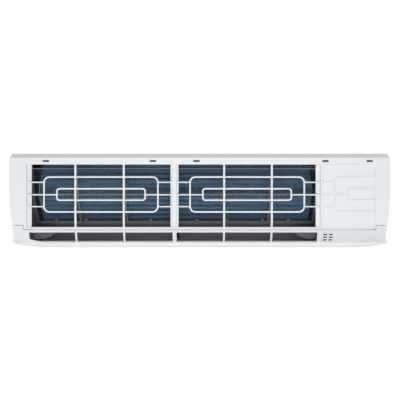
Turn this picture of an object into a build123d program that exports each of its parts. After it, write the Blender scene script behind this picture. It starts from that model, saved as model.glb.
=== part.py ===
from build123d import *
import math
import os

os.makedirs("parts", exist_ok=True)

# Heights are measured from the unit's underside. The origin is the centre of the wall plate's
# screw holes, on the wall: +X is to the right seen from the front, +Y points into the wall.

# Whole unit
width = 845.0
depth = 209.0
height = 289.0
plate_height = 150.0
skin = 2.8
seam_gap = 0.9
seam_lip_reach = 2.5
fit_gap = 0.3
pin_gap = 0.08
press_gap = 0.05

# Casing outline seen from above: half widths at the wall, behind the bevel, at the hinge seam and front
bevel = 9.3
wall_half = width / 2 - 5.5
bevel_half = width / 2 - 1.3
widest_setback = 60.0
seam_half = width / 2 - 6.5
front_half = width / 2 - 8.0

# Casing outline seen from the side
front_setback = 11.0
top_round = 79.0
top_round_start = depth - 69
lip_setback = depth - 59
mouth_front = depth - 4.0
mouth_top = 66.0
mouth_bulge = 6.0
panel_bottom = 76.0

# Hinged front
ear_setback = depth - 50
seam_setback = depth - 40.4
ear_inner = width / 2 - 31.5
frame_skin = 2.5
hinge_setback = depth - 46.5
hinge_depth = 4.0
hinge_pin_radius = 2.5
hinge_pin_length = 7.5
panel_skin = 3.0
panel_half = width / 2 - 3.0
panel_flat_half = width / 2 - 77.5
panel_end_radius = 313.0
panel_top = height - 25

# Intake grille in the top
intake_left = -(width / 2 - 38.5)
intake_right = width / 2 - 154.5
intake_rear = 24.4
intake_front = depth - 45.8
ledge_width = 10.0
ledge_depth = 7.5
ledge_thick = 2.0
skirt_depth = 9.0
rib_width = 4.3
bar_width = 3.5
stub_width = 2.8
bar_depth = 5.0
mullion_x = (intake_left + intake_right) / 2 + 2
mullion_width = 18.0
mullion_top_width = 9.0
rib_places = (intake_left + 108.2, mullion_x - 112.5, mullion_x + 110.2, intake_right - 108)
outer_ring_rear = intake_rear + 27.9
outer_ring_front = intake_front - 33.7
inner_ring_rear = outer_ring_rear + 25.8
inner_ring_front = outer_ring_front - 25.9
outer_ring_radius = 12.0
inner_ring_radius = 6.0
left_rings = ((intake_left + 38.6, mullion_x - 36.8), (intake_left + 67.2, mullion_x - 65))
right_rings = ((mullion_x + 34.6, intake_right - 36.1), (mullion_x + 62.8, intake_right - 64.9))
stub_setbacks = (outer_ring_rear + 11.6, (outer_ring_rear + outer_ring_front) / 2 + 0.7, outer_ring_front - 11.7)
front_grille_rear = depth - 33.6
front_grille_left = intake_left + 4
front_grille_right = intake_right - 6
front_grille_corner = 9.0
front_flat_half = width / 2 - 98.5
front_end_drop = 11.7
front_end_reach = 66.0

# Closed field over the electric box, with the ring pattern raised on it
field_right = width / 2 - 33.7
field_edge = 3.5
field_depth = 1.6
field_sink = 2.6
field_floor = 1.8
field_corner = 11.0
field_ring_left = intake_right + 31.6
field_inner_left = intake_right + 60.8
front_field_left = intake_right + 4
front_field_front = depth - front_setback - 1.5
vent_columns = (front_field_left + 8.1, front_field_left + 20.6)
vent_setbacks = (front_grille_rear + 4.5, front_grille_rear + 10.7, front_grille_rear + 17.1)
vent_length = 8.2
vent_width = 2.7

# Snap slots behind the grille and the hooks in them
hook_places = (intake_left + 43, mullion_x - 47.7, mullion_x + 49, intake_right + 10.9, field_right - 12.1)
hook_setback = 16.6
hook_slot_length = 13.7
hook_slot_width = 4.2

# Cross-flow fan and its housing
fan_setback = depth - 114
fan_height = 98.0
fan_radius = 46.0
duct_left = -(width / 2 - 50.5)
duct_right = width / 2 - 160.5
fan_left = duct_left + 6
fan_right = duct_right - 12
blade_count = 34
blade_chord = 11.0
blade_thick = 1.1
blade_lean = 38.0
ring_count = 8
ring_thick = 2.0
shaft_radius = 4.0
duct_wall = 3.0
throat_gap = 6.0
scroll_growth = 12.0
floor_end_setback = lip_setback - 4
floor_end_height = 6.0
scroll_tip_angle = 40.0
hub_length = 16.0
hub_radius = 12.0
set_screw_radius = 2.0
cheek_front = mouth_front - 9
cheek_nose = 56.0

# Chassis
back_wall_rear = 8.0
back_wall_front = 10.5
base_low = 3.2
base_high = 5.7
chassis_half = width / 2 - 14.5
chassis_top = height - 6
end_wall_front = lip_setback - 2
trough_height = 122.0
coil_seat = 148.0
coil_seat_reach = 2.0
spacer_places = (-0.355 * width, -0.1775 * width, 0.1775 * width, 0.355 * width)
screw_places = (-0.355 * width, 0, 0.355 * width)
screw_setback = lip_setback - 30
screw_radius = 1.9
screw_head_radius = 3.5
screw_head_tall = 1.6
screw_boss_top = 14.0

# Drain pan and its outlets
pan_left = duct_left - 18
pan_right = duct_right + 10
pan_rear = fan_setback + 44.2
pan_front = depth - 19
pan_low = 66.0
pan_floor = 3.0
pan_rear_top = 80.0
spigot_setback = (pan_rear + pan_front) / 2 + 0.4
spigot_height = 76.0
spigot_radius = 8.0
spigot_wall = 2.0
spigot_length = 13.0
plug_head = 2.0
drain_x = width / 2 - 70
drain_turn = 45.0
drain_height = 60.0
drain_bend = 24.0
drain_hole_radius = 14.0

# Coil: two rows of tubes through three packs of fins
coil_left = duct_left + 6
coil_right = duct_right - 8
row_pitch = 12.7
tube_pitch = 19.0
tube_radius = 3.5
fin_pitch = 8.0
fin_thick = 5.0
fan_to_coil = 10.0
front_slope = 35.0
front_tubes = int((height - 150) / 19.5)
front_low_end = 22.0
rear_slope = 40.0
rear_tubes = front_tubes - 3
pack_drop = 12.0
pack_gap = 3.0
low_tubes = 2
low_pack_rear = pan_rear + 11.4
groove_depth = 2.2
end_plate_thick = 1.0

# Filters: each is a piece of one large arc, so that it slides round the arc's centre
filter_radius = 224.7
filter_centre_y = 244.2 - depth
filter_centre_height = height - 228.5
filter_low = 100.3
filter_thick = 3.0
filter_side_rim = 3.0
filter_rear_rim = 1.8
filter_rear_angle = 17.4
filter_front_angle = math.degrees(math.acos((filter_low - filter_centre_height) / filter_radius))
filter_rib_angles = (filter_rear_angle + 16.6, filter_front_angle - 23.1)
filter_rib = 5.0
filter_travel = 2.5
left_nubs = (rib_places[0] - 56.2, rib_places[0] + 12.1, rib_places[1] + 54.5)
right_nubs = (rib_places[2] - 60.6, rib_places[2] + 9.3, rib_places[3] - 15, rib_places[3] + 45.5)
nub_width = 7.0
nub_tall = 3.0
nub_long = 12.0
bead_tall = 1.4
bead_width = 9.0
strut_width = 3.0
lip_height = height - 137
lip_front = depth - 9
lip_thick = 1.6
lip_end = 24.0
filter_gap = 0.4
net_thick = 0.6
rail_thick = 2.0
rail_width = 6.0
rail_left = intake_left + 3.5
rail_right = intake_right - 0.5
guide_rear_angle = 13.9
cheek_drop = 0.5
shelf_height = height - 61
shelf_rear = depth - 40
shelf_middle = depth - 30
shelf_front = depth - 17
shelf_reach = 50.0
shelf_turn = 14.0
guide_front_angle = filter_front_angle + 2.8

# Louver and vanes
louver_left = duct_left + 1
louver_right = duct_right - 1
louver_thick = 2.6
louver_gap = 1.6
louver_pivot_share = 0.21
louver_pivot_inset = 10.0
louver_pin_radius = 3.0
vane_count = 10
vane_thick = 1.8
vane_front_tall = 42.0
vane_rear_tall = 26.0
vane_front_reach = 14.0
vane_rear_reach = 10.0
vane_lift = 1.0
vane_clear = 2.5
vane_pin_radius = 2.0
vane_first_x = duct_left + 32
vane_last_x = duct_right - 32
tab_height = 5.8
tab_thick = 1.6
link_reach = 15.0
link_width = 5.0
link_thick = 2.0
link_pin_radius = 1.2
crank_x = duct_left - 19
stepper_low = 12.0
stepper_top = 28.0
vane_stepper_radius = 9.0
stepper_shelf_left = duct_left - 31
stepper_radius = 10.0
stepper_length = 18.0

# Motor
motor_radius = 44.0
motor_length = 66.0
motor_left = duct_right + 6
motor_boss_radius = 12.0
motor_ring_outer = 18.0
ring_inset = 0.5
cradle_wide = 7.0
bearing_boss_length = 12.0
bearing_outer = 12.0
bearing_sleeve = 9.0
bracket_top = 147.5
bracket_screw_out = 24.0
bracket_screw_radius = 2.0
bracket_screw_bite = 12.0
bracket_flange = 24.0

# Electric box
box_left = width / 2 - 122.5
box_right = width / 2 - 18.5
box_rear = 40.0
box_front = depth - 23
box_bottom = bracket_top + 9
box_top = height - 25
box_wall = 2.2
box_seat_gap = 0.3
cover_thick = 2.0
board_thick = 1.6
cable_hole_radius = 8.0
button_x = box_right - 24
button_height = box_bottom + 25.5
button_radius = 4.0
button_travel = 1.2
button_board_front = box_front - 9
display_x = width / 2 - 72.5
display_height = 118.0
display_length = 52.0
display_tall = 14.0
display_board_back = 6.0
display_post_radius = 2.0

# Refrigerant pipes in the rear trough
pipe_way_left = duct_left + 12
pipe_way_right = duct_left + 132
pipe_way_top = 62.0
pipe_turn_x = duct_right + 22
pipe_wall = 0.8
gas_setback = 39.0
gas_height = 30.0
gas_radius = 4.76
gas_end = pipe_way_left + 65
gas_nut_flats = 22.0
gas_thread_radius = 7.2
liquid_setback = 30.0
liquid_height = 50.0
liquid_radius = 3.18
liquid_end = pipe_way_left + 25
liquid_nut_flats = 17.0
liquid_thread_radius = 5.1
nut_socket = 9.0
nut_length = 16.0
nut_end = 3.0
gas_bend = 16.0
liquid_bend = 11.0
clamp_x = duct_right - 62
clamp_length = 16.0
clamp_wall = 2.2

# Wall plate
plate_left = -(width / 2 - 92.5)
plate_right = width / 2 - 92.5
plate_thick = 1.2
plate_low = 96.0
plate_high = height - 43
screw_hole_radius = 2.6
screw_spread = 480.0
screw_rise = 90.0
window_places = (-180.0, -60.0, 60.0, 180.0)
wall_hook_places = (-200.0, 200.0)
hook_half = 20.0
hook_seat = height - 35


def block(left, right, rear, front, low, high):
    """A box from its sides. Rear and front are distances out from the wall."""
    size = Box(right - left, front - rear, high - low)
    return Pos((left + right) / 2, -(rear + front) / 2, (low + high) / 2) * size


def prism(outline, left, right):
    """A side outline, drawn as setback and height, drawn out along the unit."""
    return extrude(Plane.YZ.offset(left) * outline, amount=right - left)


def side_polygon(points):
    return make_face(Polyline(*[(-out, up) for out, up in points], close=True))


def rod(left, right, setback, up, radius):
    """A round bar along the unit."""
    middle = Pos((left + right) / 2, -setback, up)
    return middle * Rot(0, 90, 0) * Cylinder(radius, right - left)


def tube_between(left, right, setback, up, outer, inner):
    return rod(left, right, setback, up, outer) - rod(left - 1, right + 1, setback, up, inner)


def joined(pieces):
    whole = pieces[0]
    return whole.fuse(*pieces[1:]) if len(pieces) > 1 else whole


def written(name, piece):
    """Lowers a finished piece to the screw-hole origin and writes it."""
    lowered = [Pos(0, 0, -plate_height) * solid for solid in piece.solids()]
    export_step(lowered[0] if len(lowered) == 1 else Compound(lowered), f"parts/{name}.step")


def top_surface(setback):
    """Height of the casing's top at a distance from the wall."""
    past = max(0.0, setback - top_round_start)
    return height - top_round + math.sqrt(top_round**2 - past**2)


# --- Casing and hinged front -------------------------------------------------------------------


def side_outline():
    """The closed casing's side outline, up to the plane that the front panel lies on."""
    front = depth - front_setback
    front_top = top_surface(front)
    arc_middle = (top_round_start + front) / 2
    mouth_mid = ((lip_setback + mouth_front) / 2, mouth_top / 2)
    run = math.hypot(mouth_front - lip_setback, mouth_top)
    bulge = (
        mouth_mid[0] + mouth_bulge * mouth_top / run,
        mouth_mid[1] - mouth_bulge * (mouth_front - lip_setback) / run,
    )
    edges = [
        Line((0, 0), (-lip_setback, 0)),
        ThreePointArc((-lip_setback, 0), (-bulge[0], bulge[1]), (-mouth_front, mouth_top)),
        Line((-mouth_front, mouth_top), (-mouth_front, panel_bottom)),
        Line((-mouth_front, panel_bottom), (-front, panel_bottom)),
        Line((-front, panel_bottom), (-front, front_top)),
        ThreePointArc(
            (-front, front_top), (-arc_middle, top_surface(arc_middle)), (-top_round_start, height)
        ),
        Line((-top_round_start, height), (-bevel, height)),
        Line((-bevel, height), (0, height - bevel)),
        Line((0, height - bevel), (0, 0)),
    ]
    return make_face(edges)


def plan_outline():
    """The closed casing's outline from above. Its ends curve in towards the front."""
    edges = []
    for side in (-1, 1):
        edges.append(Line((side * wall_half, 0), (side * bevel_half, -bevel)))
        edges.append(
            ThreePointArc(
                (side * bevel_half, -bevel),
                (side * width / 2, -widest_setback),
                (side * seam_half, -ear_setback),
            )
        )
        edges.append(Line((side * seam_half, -ear_setback), (side * front_half, -depth)))
    edges.append(Line((-wall_half, 0), (wall_half, 0)))
    edges.append(Line((-front_half, -depth), (front_half, -depth)))
    return make_face(edges)


def envelope(inset):
    """The casing's outside, or its inside at a wall's thickness. The inside is open at the wall."""
    side = side_outline()
    plan = plan_outline()
    if inset > 0:
        side = offset(side, amount=-inset, kind=Kind.INTERSECTION)
        plan = offset(plan, amount=-inset, kind=Kind.INTERSECTION)
    body = prism(side, -width, width) & extrude(plan, amount=height)
    if inset > 0:
        room = bevel + inset
        body += block(-wall_half + inset, wall_half - inset, -room, room, inset, height - bevel - inset)
    return body


def front_zone(gap):
    """The space in front of the seam, which swings with the front panel. Ears reach the hinge."""
    outside = width
    middle = block(-outside, outside, seam_setback + gap, outside, panel_bottom + gap, outside)
    for side in (-1, 1):
        ends = sorted((side * (ear_inner + gap), side * outside))
        middle += block(*ends, ear_setback + gap, outside, panel_bottom + gap, outside)
    return middle


def ring(span, rear, front, radius, thick, low, high):
    """One rounded rectangular ring of the grille, from its bar centres."""
    long = span[1] - span[0]
    deep = front - rear
    outer = RectangleRounded(long + thick, deep + thick, radius + thick / 2)
    inner = RectangleRounded(long - thick, deep - thick, radius - thick / 2)
    middle = Pos((span[0] + span[1]) / 2, -(rear + front) / 2, low)
    return middle * extrude(outer - inner, amount=high - low)


def grille_bars():
    """Ribs, nested rings and the short bars between them, as one layer under the top face."""
    low = height - bar_depth
    high = height
    pieces = []
    for place in rib_places:
        pieces.append(
            block(place - rib_width / 2, place + rib_width / 2, intake_rear, intake_front, low - 2, high)
        )
    for outer_span, inner_span in (left_rings, right_rings):
        pieces.append(
            ring(outer_span, outer_ring_rear, outer_ring_front, outer_ring_radius, bar_width, low, high)
        )
        pieces.append(
            ring(inner_span, inner_ring_rear, inner_ring_front, inner_ring_radius, bar_width, low, high)
        )
    for index, setback in enumerate(stub_setbacks):
        rear = setback - stub_width / 2
        front = setback + stub_width / 2
        depth_of_ring = 1 if index == 1 else 0
        pieces.append(block(intake_left, left_rings[depth_of_ring][0], rear, front, low, high))
        pieces.append(
            block(left_rings[depth_of_ring][1], right_rings[depth_of_ring][0], rear, front, low, high)
        )
        pieces.append(block(right_rings[depth_of_ring][1], intake_right, rear, front, low, high))
    bars = joined(pieces)
    return bars & envelope(0)


def intake_surround():
    """The skirt round the intake, the sunk ledges at its ends and the mullion between its bays."""
    high = height
    low = height - skirt_depth
    ledge_top = height - ledge_depth
    ledge_low = ledge_top - ledge_thick
    pieces = []
    for left, right in ((intake_left, mullion_x), (mullion_x, intake_right)):
        pieces.append(block(left, right, intake_rear - ledge_thick, intake_rear, low, high))
        pieces.append(block(left, right, intake_front, seam_setback - seam_gap, low - 3, high))
    rear = intake_rear - ledge_thick
    front = seam_setback - seam_gap
    pieces.append(block(intake_left - ledge_thick, intake_left, rear, front, ledge_low, high))
    pieces.append(block(intake_right, intake_right + field_edge, rear, front, ledge_low, high))
    for left in (intake_left, intake_right - ledge_width, mullion_x - mullion_width / 2):
        wide = mullion_width if left < mullion_x < left + mullion_width else ledge_width
        pieces.append(block(left, left + wide, intake_rear, intake_front, ledge_low, ledge_top))
    half = mullion_top_width / 2
    pieces.append(block(mullion_x - half, mullion_x + half, intake_rear, intake_front, ledge_low, high))
    return joined(pieces) & envelope(0)


def field_cut():
    """The sunk field, one rounded plate less the raised half rings on it."""
    low = height - field_sink
    left = intake_right + field_edge
    wide = field_right - left
    deep = intake_front - intake_rear
    plate = RectangleRounded(wide + field_corner, deep, field_corner)
    floor = Pos((left - field_corner + field_right) / 2, -(intake_rear + intake_front) / 2, low)
    cut = floor * extrude(plate, amount=field_sink + 1)
    cut = cut - block(left - 2 * field_corner, left, 0, depth, low - 1, height + 2)
    far = field_right + 60
    outer = ring(
        (field_ring_left, far), outer_ring_rear, outer_ring_front, outer_ring_radius, bar_width, low - 1, height + 2
    )
    inner = ring(
        (field_inner_left, far), inner_ring_rear, inner_ring_front, inner_ring_radius, bar_width, low - 1, height + 2
    )
    cut = cut - outer - inner
    for index, setback in enumerate(stub_setbacks):
        reach = field_inner_left if index == 1 else field_ring_left
        rear = setback - stub_width / 2
        cut = cut - block(left - 1, reach, rear, rear + stub_width, low - 1, height + 2)
    return cut


def hinge_height():
    return top_surface(hinge_setback) - hinge_depth


def ear_sweep():
    """How far an ear's rear edge reaches from the hinge as the front swings up."""
    back = hinge_setback - ear_setback - seam_gap
    return math.hypot(back, top_surface(ear_setback) - hinge_height()) + fit_gap


def seam_lip():
    """A lip under the seam, so that it isn't open to the inside."""
    top = top_surface(seam_setback + seam_lip_reach) - frame_skin - fit_gap
    half = ear_inner - 2 * ledge_width
    return block(-half, half, intake_front + 1, seam_setback + seam_lip_reach, top - ledge_thick, top)


def front_casing():
    shell = envelope(0) - envelope(skin) - front_zone(0)
    shell -= block(intake_left, intake_right, intake_rear, intake_front, height - 30, height + 1)
    shell += grille_bars()
    shell += intake_surround()
    floor = height - field_sink - field_floor
    shell += block(intake_right, field_right + skin, intake_rear, intake_front, floor, height - skin / 2)
    shell -= field_cut()
    for place in hook_places:
        half = hook_slot_length / 2
        rear = hook_setback - hook_slot_width / 2
        shell -= block(place - half, place + half, rear, rear + hook_slot_width, height - 20, height + 1)
    outlet_left = duct_left - duct_wall - 1
    outlet_right = duct_right + duct_wall + 1
    shell -= block(outlet_left, outlet_right, lip_setback, depth, -1, mouth_top)
    pivot = louver_pivot()
    shell -= rod(outlet_left, outlet_right, pivot[0], pivot[1], louver_sweep())
    beam = block(-front_half + 4, front_half - 4, mouth_front - 11, mouth_front + 1, mouth_top, panel_bottom)
    shell += beam & envelope(0)
    shell -= front_zone(0)
    shell += seam_lip()
    up = hinge_height()
    for side in (-1, 1):
        ends = sorted((side * (ear_inner - 7.0), side * ear_inner))
        boss = block(*ends, hinge_setback - 6, hinge_setback + 4.5, up - 6, up + hinge_depth)
        shell += boss & envelope(1.0)
        shell -= rod(*ends, hinge_setback, up, hinge_pin_radius + pin_gap)
        outer = sorted((side * ear_inner, side * width / 2))
        shell -= rod(*outer, hinge_setback, up, ear_sweep())
    for place in screw_places:
        seat = Pos(place, -screw_setback, 0)
        shell -= seat * Cylinder(screw_radius + fit_gap, 4 * skin)
        shell -= seat * Cylinder(screw_head_radius + fit_gap, 2 * (screw_head_tall + fit_gap))
    return shell


def front_grille():
    """The narrow grille in the hinged front's return, with the same ribs as the main one."""
    pieces = []
    high = height
    low = panel_top - 10
    for place in rib_places:
        half = rib_width / 2
        pieces.append(block(place - half, place + half, seam_setback + 3, depth - front_setback, low, high))
    half = mullion_top_width / 2
    pieces.append(block(mullion_x - half, mullion_x + half, seam_setback + 3, depth - front_setback, low, high))
    return joined(pieces) & (envelope(0) - envelope(bar_depth))


def front_end(side):
    """What stays of the return at an end of the narrow grille, in front of a flat curve."""
    flat = side * front_flat_half
    end = side * (front_flat_half + front_end_reach)
    front = depth - front_setback + 1
    edges = [
        ThreePointArc(
            (flat, -front),
            (flat + side * front_end_reach / 2, -front + front_end_drop / 4),
            (end, -front + front_end_drop),
        ),
        Line((end, -front + front_end_drop), (end, -depth - 1)),
        Line((end, -depth - 1), (flat, -depth - 1)),
        Line((flat, -depth - 1), (flat, -front)),
    ]
    return extrude(Pos(0, 0, panel_top - 20) * make_face(edges), amount=height - panel_top + 21)


def front_frame():
    """The white inner frame that carries the front panel, its ears and the narrow grille."""
    shell = (envelope(0) - envelope(frame_skin)) & front_zone(seam_gap)
    opening = block(
        front_grille_left, front_grille_right, front_grille_rear, depth, panel_top - 6, height
    )
    front_edges = opening.edges().filter_by(Axis.Z).sort_by(Axis.Y)[:2]
    opening = fillet(front_edges, front_grille_corner) - front_end(-1)
    shell -= opening
    shell += front_grille() & front_zone(seam_gap)
    window = block(
        -front_half + 30, front_half - 30, depth - 30, depth, panel_bottom + 22, panel_top - 26
    )
    shell -= window
    for column in vent_columns:
        for setback in vent_setbacks:
            left = column - vent_length / 2
            rear = setback - vent_width / 2
            shell -= block(left, left + vent_length, rear, rear + vent_width, panel_top - 20, height)
    field = block(front_field_left, field_right, front_grille_rear, front_field_front, panel_top, height)
    shell -= (field - front_end(1)) & (envelope(0) - envelope(field_depth))
    up = hinge_height()
    for side in (-1, 1):
        plate_ends = sorted((side * (ear_inner + seam_gap), side * (ear_inner + seam_gap + 3)))
        ear = block(*plate_ends, ear_setback + seam_gap, ear_setback + 24, up - 5, height)
        shell += ear & envelope(0)
        pin_ends = sorted((side * (ear_inner + seam_gap + 1), side * (ear_inner + seam_gap - hinge_pin_length)))
        shell += rod(*pin_ends, hinge_setback, up, hinge_pin_radius)
    return shell


def panel_outline(inset):
    """The front panel from above: flat in front, swept back at its ends."""
    front = depth - inset
    run = panel_half - inset - panel_flat_half
    drop = panel_end_radius - math.sqrt(panel_end_radius**2 - run**2)
    mid_run = run / 2
    mid_drop = panel_end_radius - math.sqrt(panel_end_radius**2 - mid_run**2)
    back = depth - front_setback - 6
    edges = [Line((-panel_flat_half, -front), (panel_flat_half, -front))]
    for side in (-1, 1):
        end = side * (panel_half - inset)
        edges.append(
            ThreePointArc(
                (side * panel_flat_half, -front),
                (side * (panel_flat_half + mid_run), -front + mid_drop),
                (end, -front + drop),
            )
        )
        edges.append(Line((end, -front + drop), (end, -back)))
    edges.append(Line((-panel_half + inset, -back), (panel_half - inset, -back)))
    return make_face(edges)


def front_panel():
    """The smooth outer panel, a shallow tray whose top lip meets the narrow grille."""
    whole = extrude(Pos(0, 0, panel_bottom + seam_gap) * panel_outline(0), amount=panel_top - panel_bottom - seam_gap)
    front_edges = whole.faces().sort_by(Axis.Y)[0].edges().filter_by(GeomType.LINE).filter_by(Axis.X)
    whole = fillet(front_edges, 4.0)
    low = panel_bottom + seam_gap + panel_skin
    room = extrude(Pos(0, 0, low) * panel_outline(panel_skin), amount=panel_top - panel_skin - low)
    room += block(-panel_half + 8, panel_half - 8, depth - 40, depth - front_setback - 0.5, low, panel_top - panel_skin)
    whole -= room
    whole -= envelope(0)
    whole -= display_window_solid(fit_gap)
    board_front = depth - panel_skin - display_board_back + board_thick
    for side in (-1, 1):
        x = display_x + side * (display_length / 2 + display_post_radius + 1)
        post = extrude(Plane.XZ.offset(board_front) * Pos(x, display_height) * Circle(display_post_radius), amount=5)
        whole += post
    return whole


def display_window_solid(gap):
    """The display's clear insert in the panel, or its hole at a gap."""
    half = display_length / 2 + gap
    tall = display_tall / 2 + gap
    rear = depth - panel_skin - (1 if gap else 0)
    front = depth + (1 if gap else 0)
    return block(
        display_x - half, display_x + half, rear, front, display_height - tall, display_height + tall
    )


def display_board():
    """The small board behind the display window, on two posts of the panel."""
    half = display_length / 2 + 6
    rear = depth - panel_skin - display_board_back
    low = display_height - display_tall / 2 - 4
    high = display_height + display_tall / 2 + 4
    board = block(display_x - half, display_x + half, rear, rear + board_thick, low, high)
    lamps = []
    for step in (-1, 0, 1):
        middle = display_x + step * display_length / 3.4
        lamps.append(
            block(middle - 5, middle + 5, rear + board_thick, rear + 4.4, display_height - 5, display_height + 5)
        )
    return joined([board] + lamps)


# --- Chassis, fan housing and drain -------------------------------------------------------------


def around_fan(radius, angle):
    """Setback and height of a point round the fan. The angle rises from the rear horizontal."""
    turn = math.radians(angle)
    return fan_setback - radius * math.cos(turn), fan_height + radius * math.sin(turn)


def scroll_radius(angle):
    share = (scroll_tip_angle - angle) / (scroll_tip_angle + 90)
    return fan_radius + throat_gap + scroll_growth * share


def scroll_points(extra):
    steps = 6
    sweep = scroll_tip_angle + 90
    angles = [scroll_tip_angle - sweep * step / steps for step in range(steps + 1)]
    return [around_fan(scroll_radius(angle) + extra, angle) for angle in angles]


def floor_direction():
    """Unit vector of the outlet floor, as setback and height, pointing out of the unit."""
    start = around_fan(scroll_radius(-90), -90)
    run = floor_end_setback - start[0]
    drop = start[1] - floor_end_height
    length = math.hypot(run, drop)
    return run / length, -drop / length


def scroll_section():
    """The housing's rear wall and outlet floor as one curved strip."""
    along = floor_direction()
    inner = scroll_points(0)
    outer = scroll_points(duct_wall)
    end = (floor_end_setback, floor_end_height)
    below = (end[0] + along[1] * duct_wall, end[1] - along[0] * duct_wall)
    inner_line = Spline(*[(-out, up) for out, up in inner])
    outer_line = Spline(*[(-out, up) for out, up in outer])
    edges = [
        inner_line,
        outer_line,
        Line((-inner[0][0], inner[0][1]), (-outer[0][0], outer[0][1])),
        Line((-inner[-1][0], inner[-1][1]), (-end[0], end[1])),
        Line((-end[0], end[1]), (-below[0], below[1])),
        Line((-below[0], below[1]), (-outer[-1][0], outer[-1][1])),
    ]
    return make_face(edges)


def duct_cheek(left, right):
    """A side plate of the air duct. It stands clear of the drain pan above the outlet."""
    lower = side_polygon(
        [
            (back_wall_front, base_high),
            (floor_end_setback, base_high),
            (cheek_front, cheek_nose),
            (cheek_front, pan_low - 2),
            (back_wall_front, pan_low - 2),
        ]
    )
    plate = prism(lower, left, right)
    plate += rod(left, right, fan_setback, fan_height, fan_radius + 8)
    plate += block(left, right, back_wall_front, rear_pack()[0][0] + coil_seat_reach, pan_low - 2, coil_seat)
    plate -= block(left - 1, right + 1, pan_rear - 3, depth, pan_low - 1.5, height)
    return plate


def wall_hook_slot(place):
    return block(
        place - hook_half - 2, place + hook_half + 2, back_wall_rear - 1, back_wall_front + 1,
        hook_seat - 10, hook_seat + fit_gap,
    )


def rear_case():
    """The grey chassis: back wall, base, fan housing, cheeks and the seats of what it carries."""
    case = prism(scroll_section(), duct_left, duct_right)
    case += block(-chassis_half, chassis_half, back_wall_rear, back_wall_front, base_low, chassis_top)
    case += block(-chassis_half, chassis_half, back_wall_rear, floor_end_setback - 4, base_low, base_high)
    trough_front = around_fan(scroll_radius(0) + 1, 0)[0] + 4
    case += block(duct_left, duct_right, back_wall_rear, trough_front, trough_height, trough_height + duct_wall)
    left_cheek = duct_cheek(duct_left - duct_wall, duct_left)
    right_cheek = duct_cheek(duct_right, duct_right + duct_wall)
    case += left_cheek
    case += right_cheek
    for side in (-1, 1):
        ends = sorted((side * chassis_half, side * (chassis_half - duct_wall)))
        case += block(*ends, back_wall_rear, end_wall_front, base_low, box_bottom - box_seat_gap)
    case += block(
        box_left, chassis_half, back_wall_rear, end_wall_front,
        box_bottom - box_seat_gap - duct_wall, box_bottom - box_seat_gap,
    )
    top_flange = block(-chassis_half, chassis_half, back_wall_rear, hook_setback + 1, chassis_top - 3, chassis_top)
    case += top_flange
    for place in hook_places:
        half = hook_slot_length / 2 - 1
        case += block(place - half, place + half, hook_setback - 1, hook_setback + 1, chassis_top - 3, height - 0.6)
    for place in spacer_places:
        case += block(place - 1, place + 1, plate_thick + fit_gap, back_wall_rear + 1, plate_low + 2, plate_high - 14)
    case += rod(
        duct_left - bearing_boss_length, duct_left, fan_setback, fan_height, bearing_outer + 4
    )
    case -= rod(
        duct_left - bearing_boss_length - 1, duct_left + 1, fan_setback, fan_height, bearing_outer + 0.05
    )
    case -= rod(duct_right - 1, duct_right + duct_wall + 1, fan_setback, fan_height, shaft_radius + 4)
    for cradle_left in (motor_left + ring_inset, motor_left + motor_length - ring_inset - cradle_wide):
        case += block(
            cradle_left, cradle_left + cradle_wide, fan_setback - 30, fan_setback + 30, base_high - 1, fan_height - 0.2
        )
    case -= rod(motor_left, motor_left + motor_length, fan_setback, fan_height, motor_ring_outer + 0.05)
    case -= rod(
        motor_left + ring_inset + cradle_wide, motor_left + motor_length - ring_inset - cradle_wide,
        fan_setback, fan_height, motor_radius + 2,
    )
    case -= block(duct_right - 1, duct_right + duct_wall + 1, 12, gas_setback + 11, base_high + 2, 60)
    case -= block(
        pipe_way_left, pipe_way_right, back_wall_rear - 1, back_wall_front + 1, base_high + 4, pipe_way_top
    )
    case -= rear_rod(drain_x, back_wall_rear - 1, back_wall_front + 1, drain_height, drain_hole_radius)
    for place in wall_hook_places:
        case -= wall_hook_slot(place)
    pivot = louver_pivot()
    case -= rod(duct_left, duct_right, pivot[0], pivot[1], louver_sweep())
    case -= rod(duct_left - 9, duct_right + 9, pivot[0], pivot[1], louver_pin_radius + pin_gap)
    for index in range(vane_count):
        case -= vane_frame(index) * Pos(0, 0, -4) * Cylinder(vane_pin_radius + pin_gap, 12)
    window = Box(duct_wall + 2, 30, 5.5)
    case -= vane_frame(0) * Pos(duct_left - duct_wall / 2 - vane_place(0), link_reach, 7.9) * window
    shelf_middle = (duct_left - duct_wall + stepper_shelf_left) / 2
    shelf = Box(duct_left - duct_wall - stepper_shelf_left, 24, 2.5)
    case += vane_frame(0) * Pos(shelf_middle - vane_place(0), 0, stepper_top + 1.45) * shelf
    tall = screw_boss_top - base_low
    for place in screw_places:
        seat = Pos(place, -screw_setback, base_low + tall / 2)
        case += seat * Cylinder(2.5 * screw_radius, tall)
        case -= seat * Cylinder(screw_radius + press_gap, 2 * tall)
    for screw_x, out in bracket_screw_places():
        case -= Pos(screw_x, -out, fan_height) * Cylinder(bracket_screw_radius + press_gap, 2 * bracket_screw_bite + 2)
    return case


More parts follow.
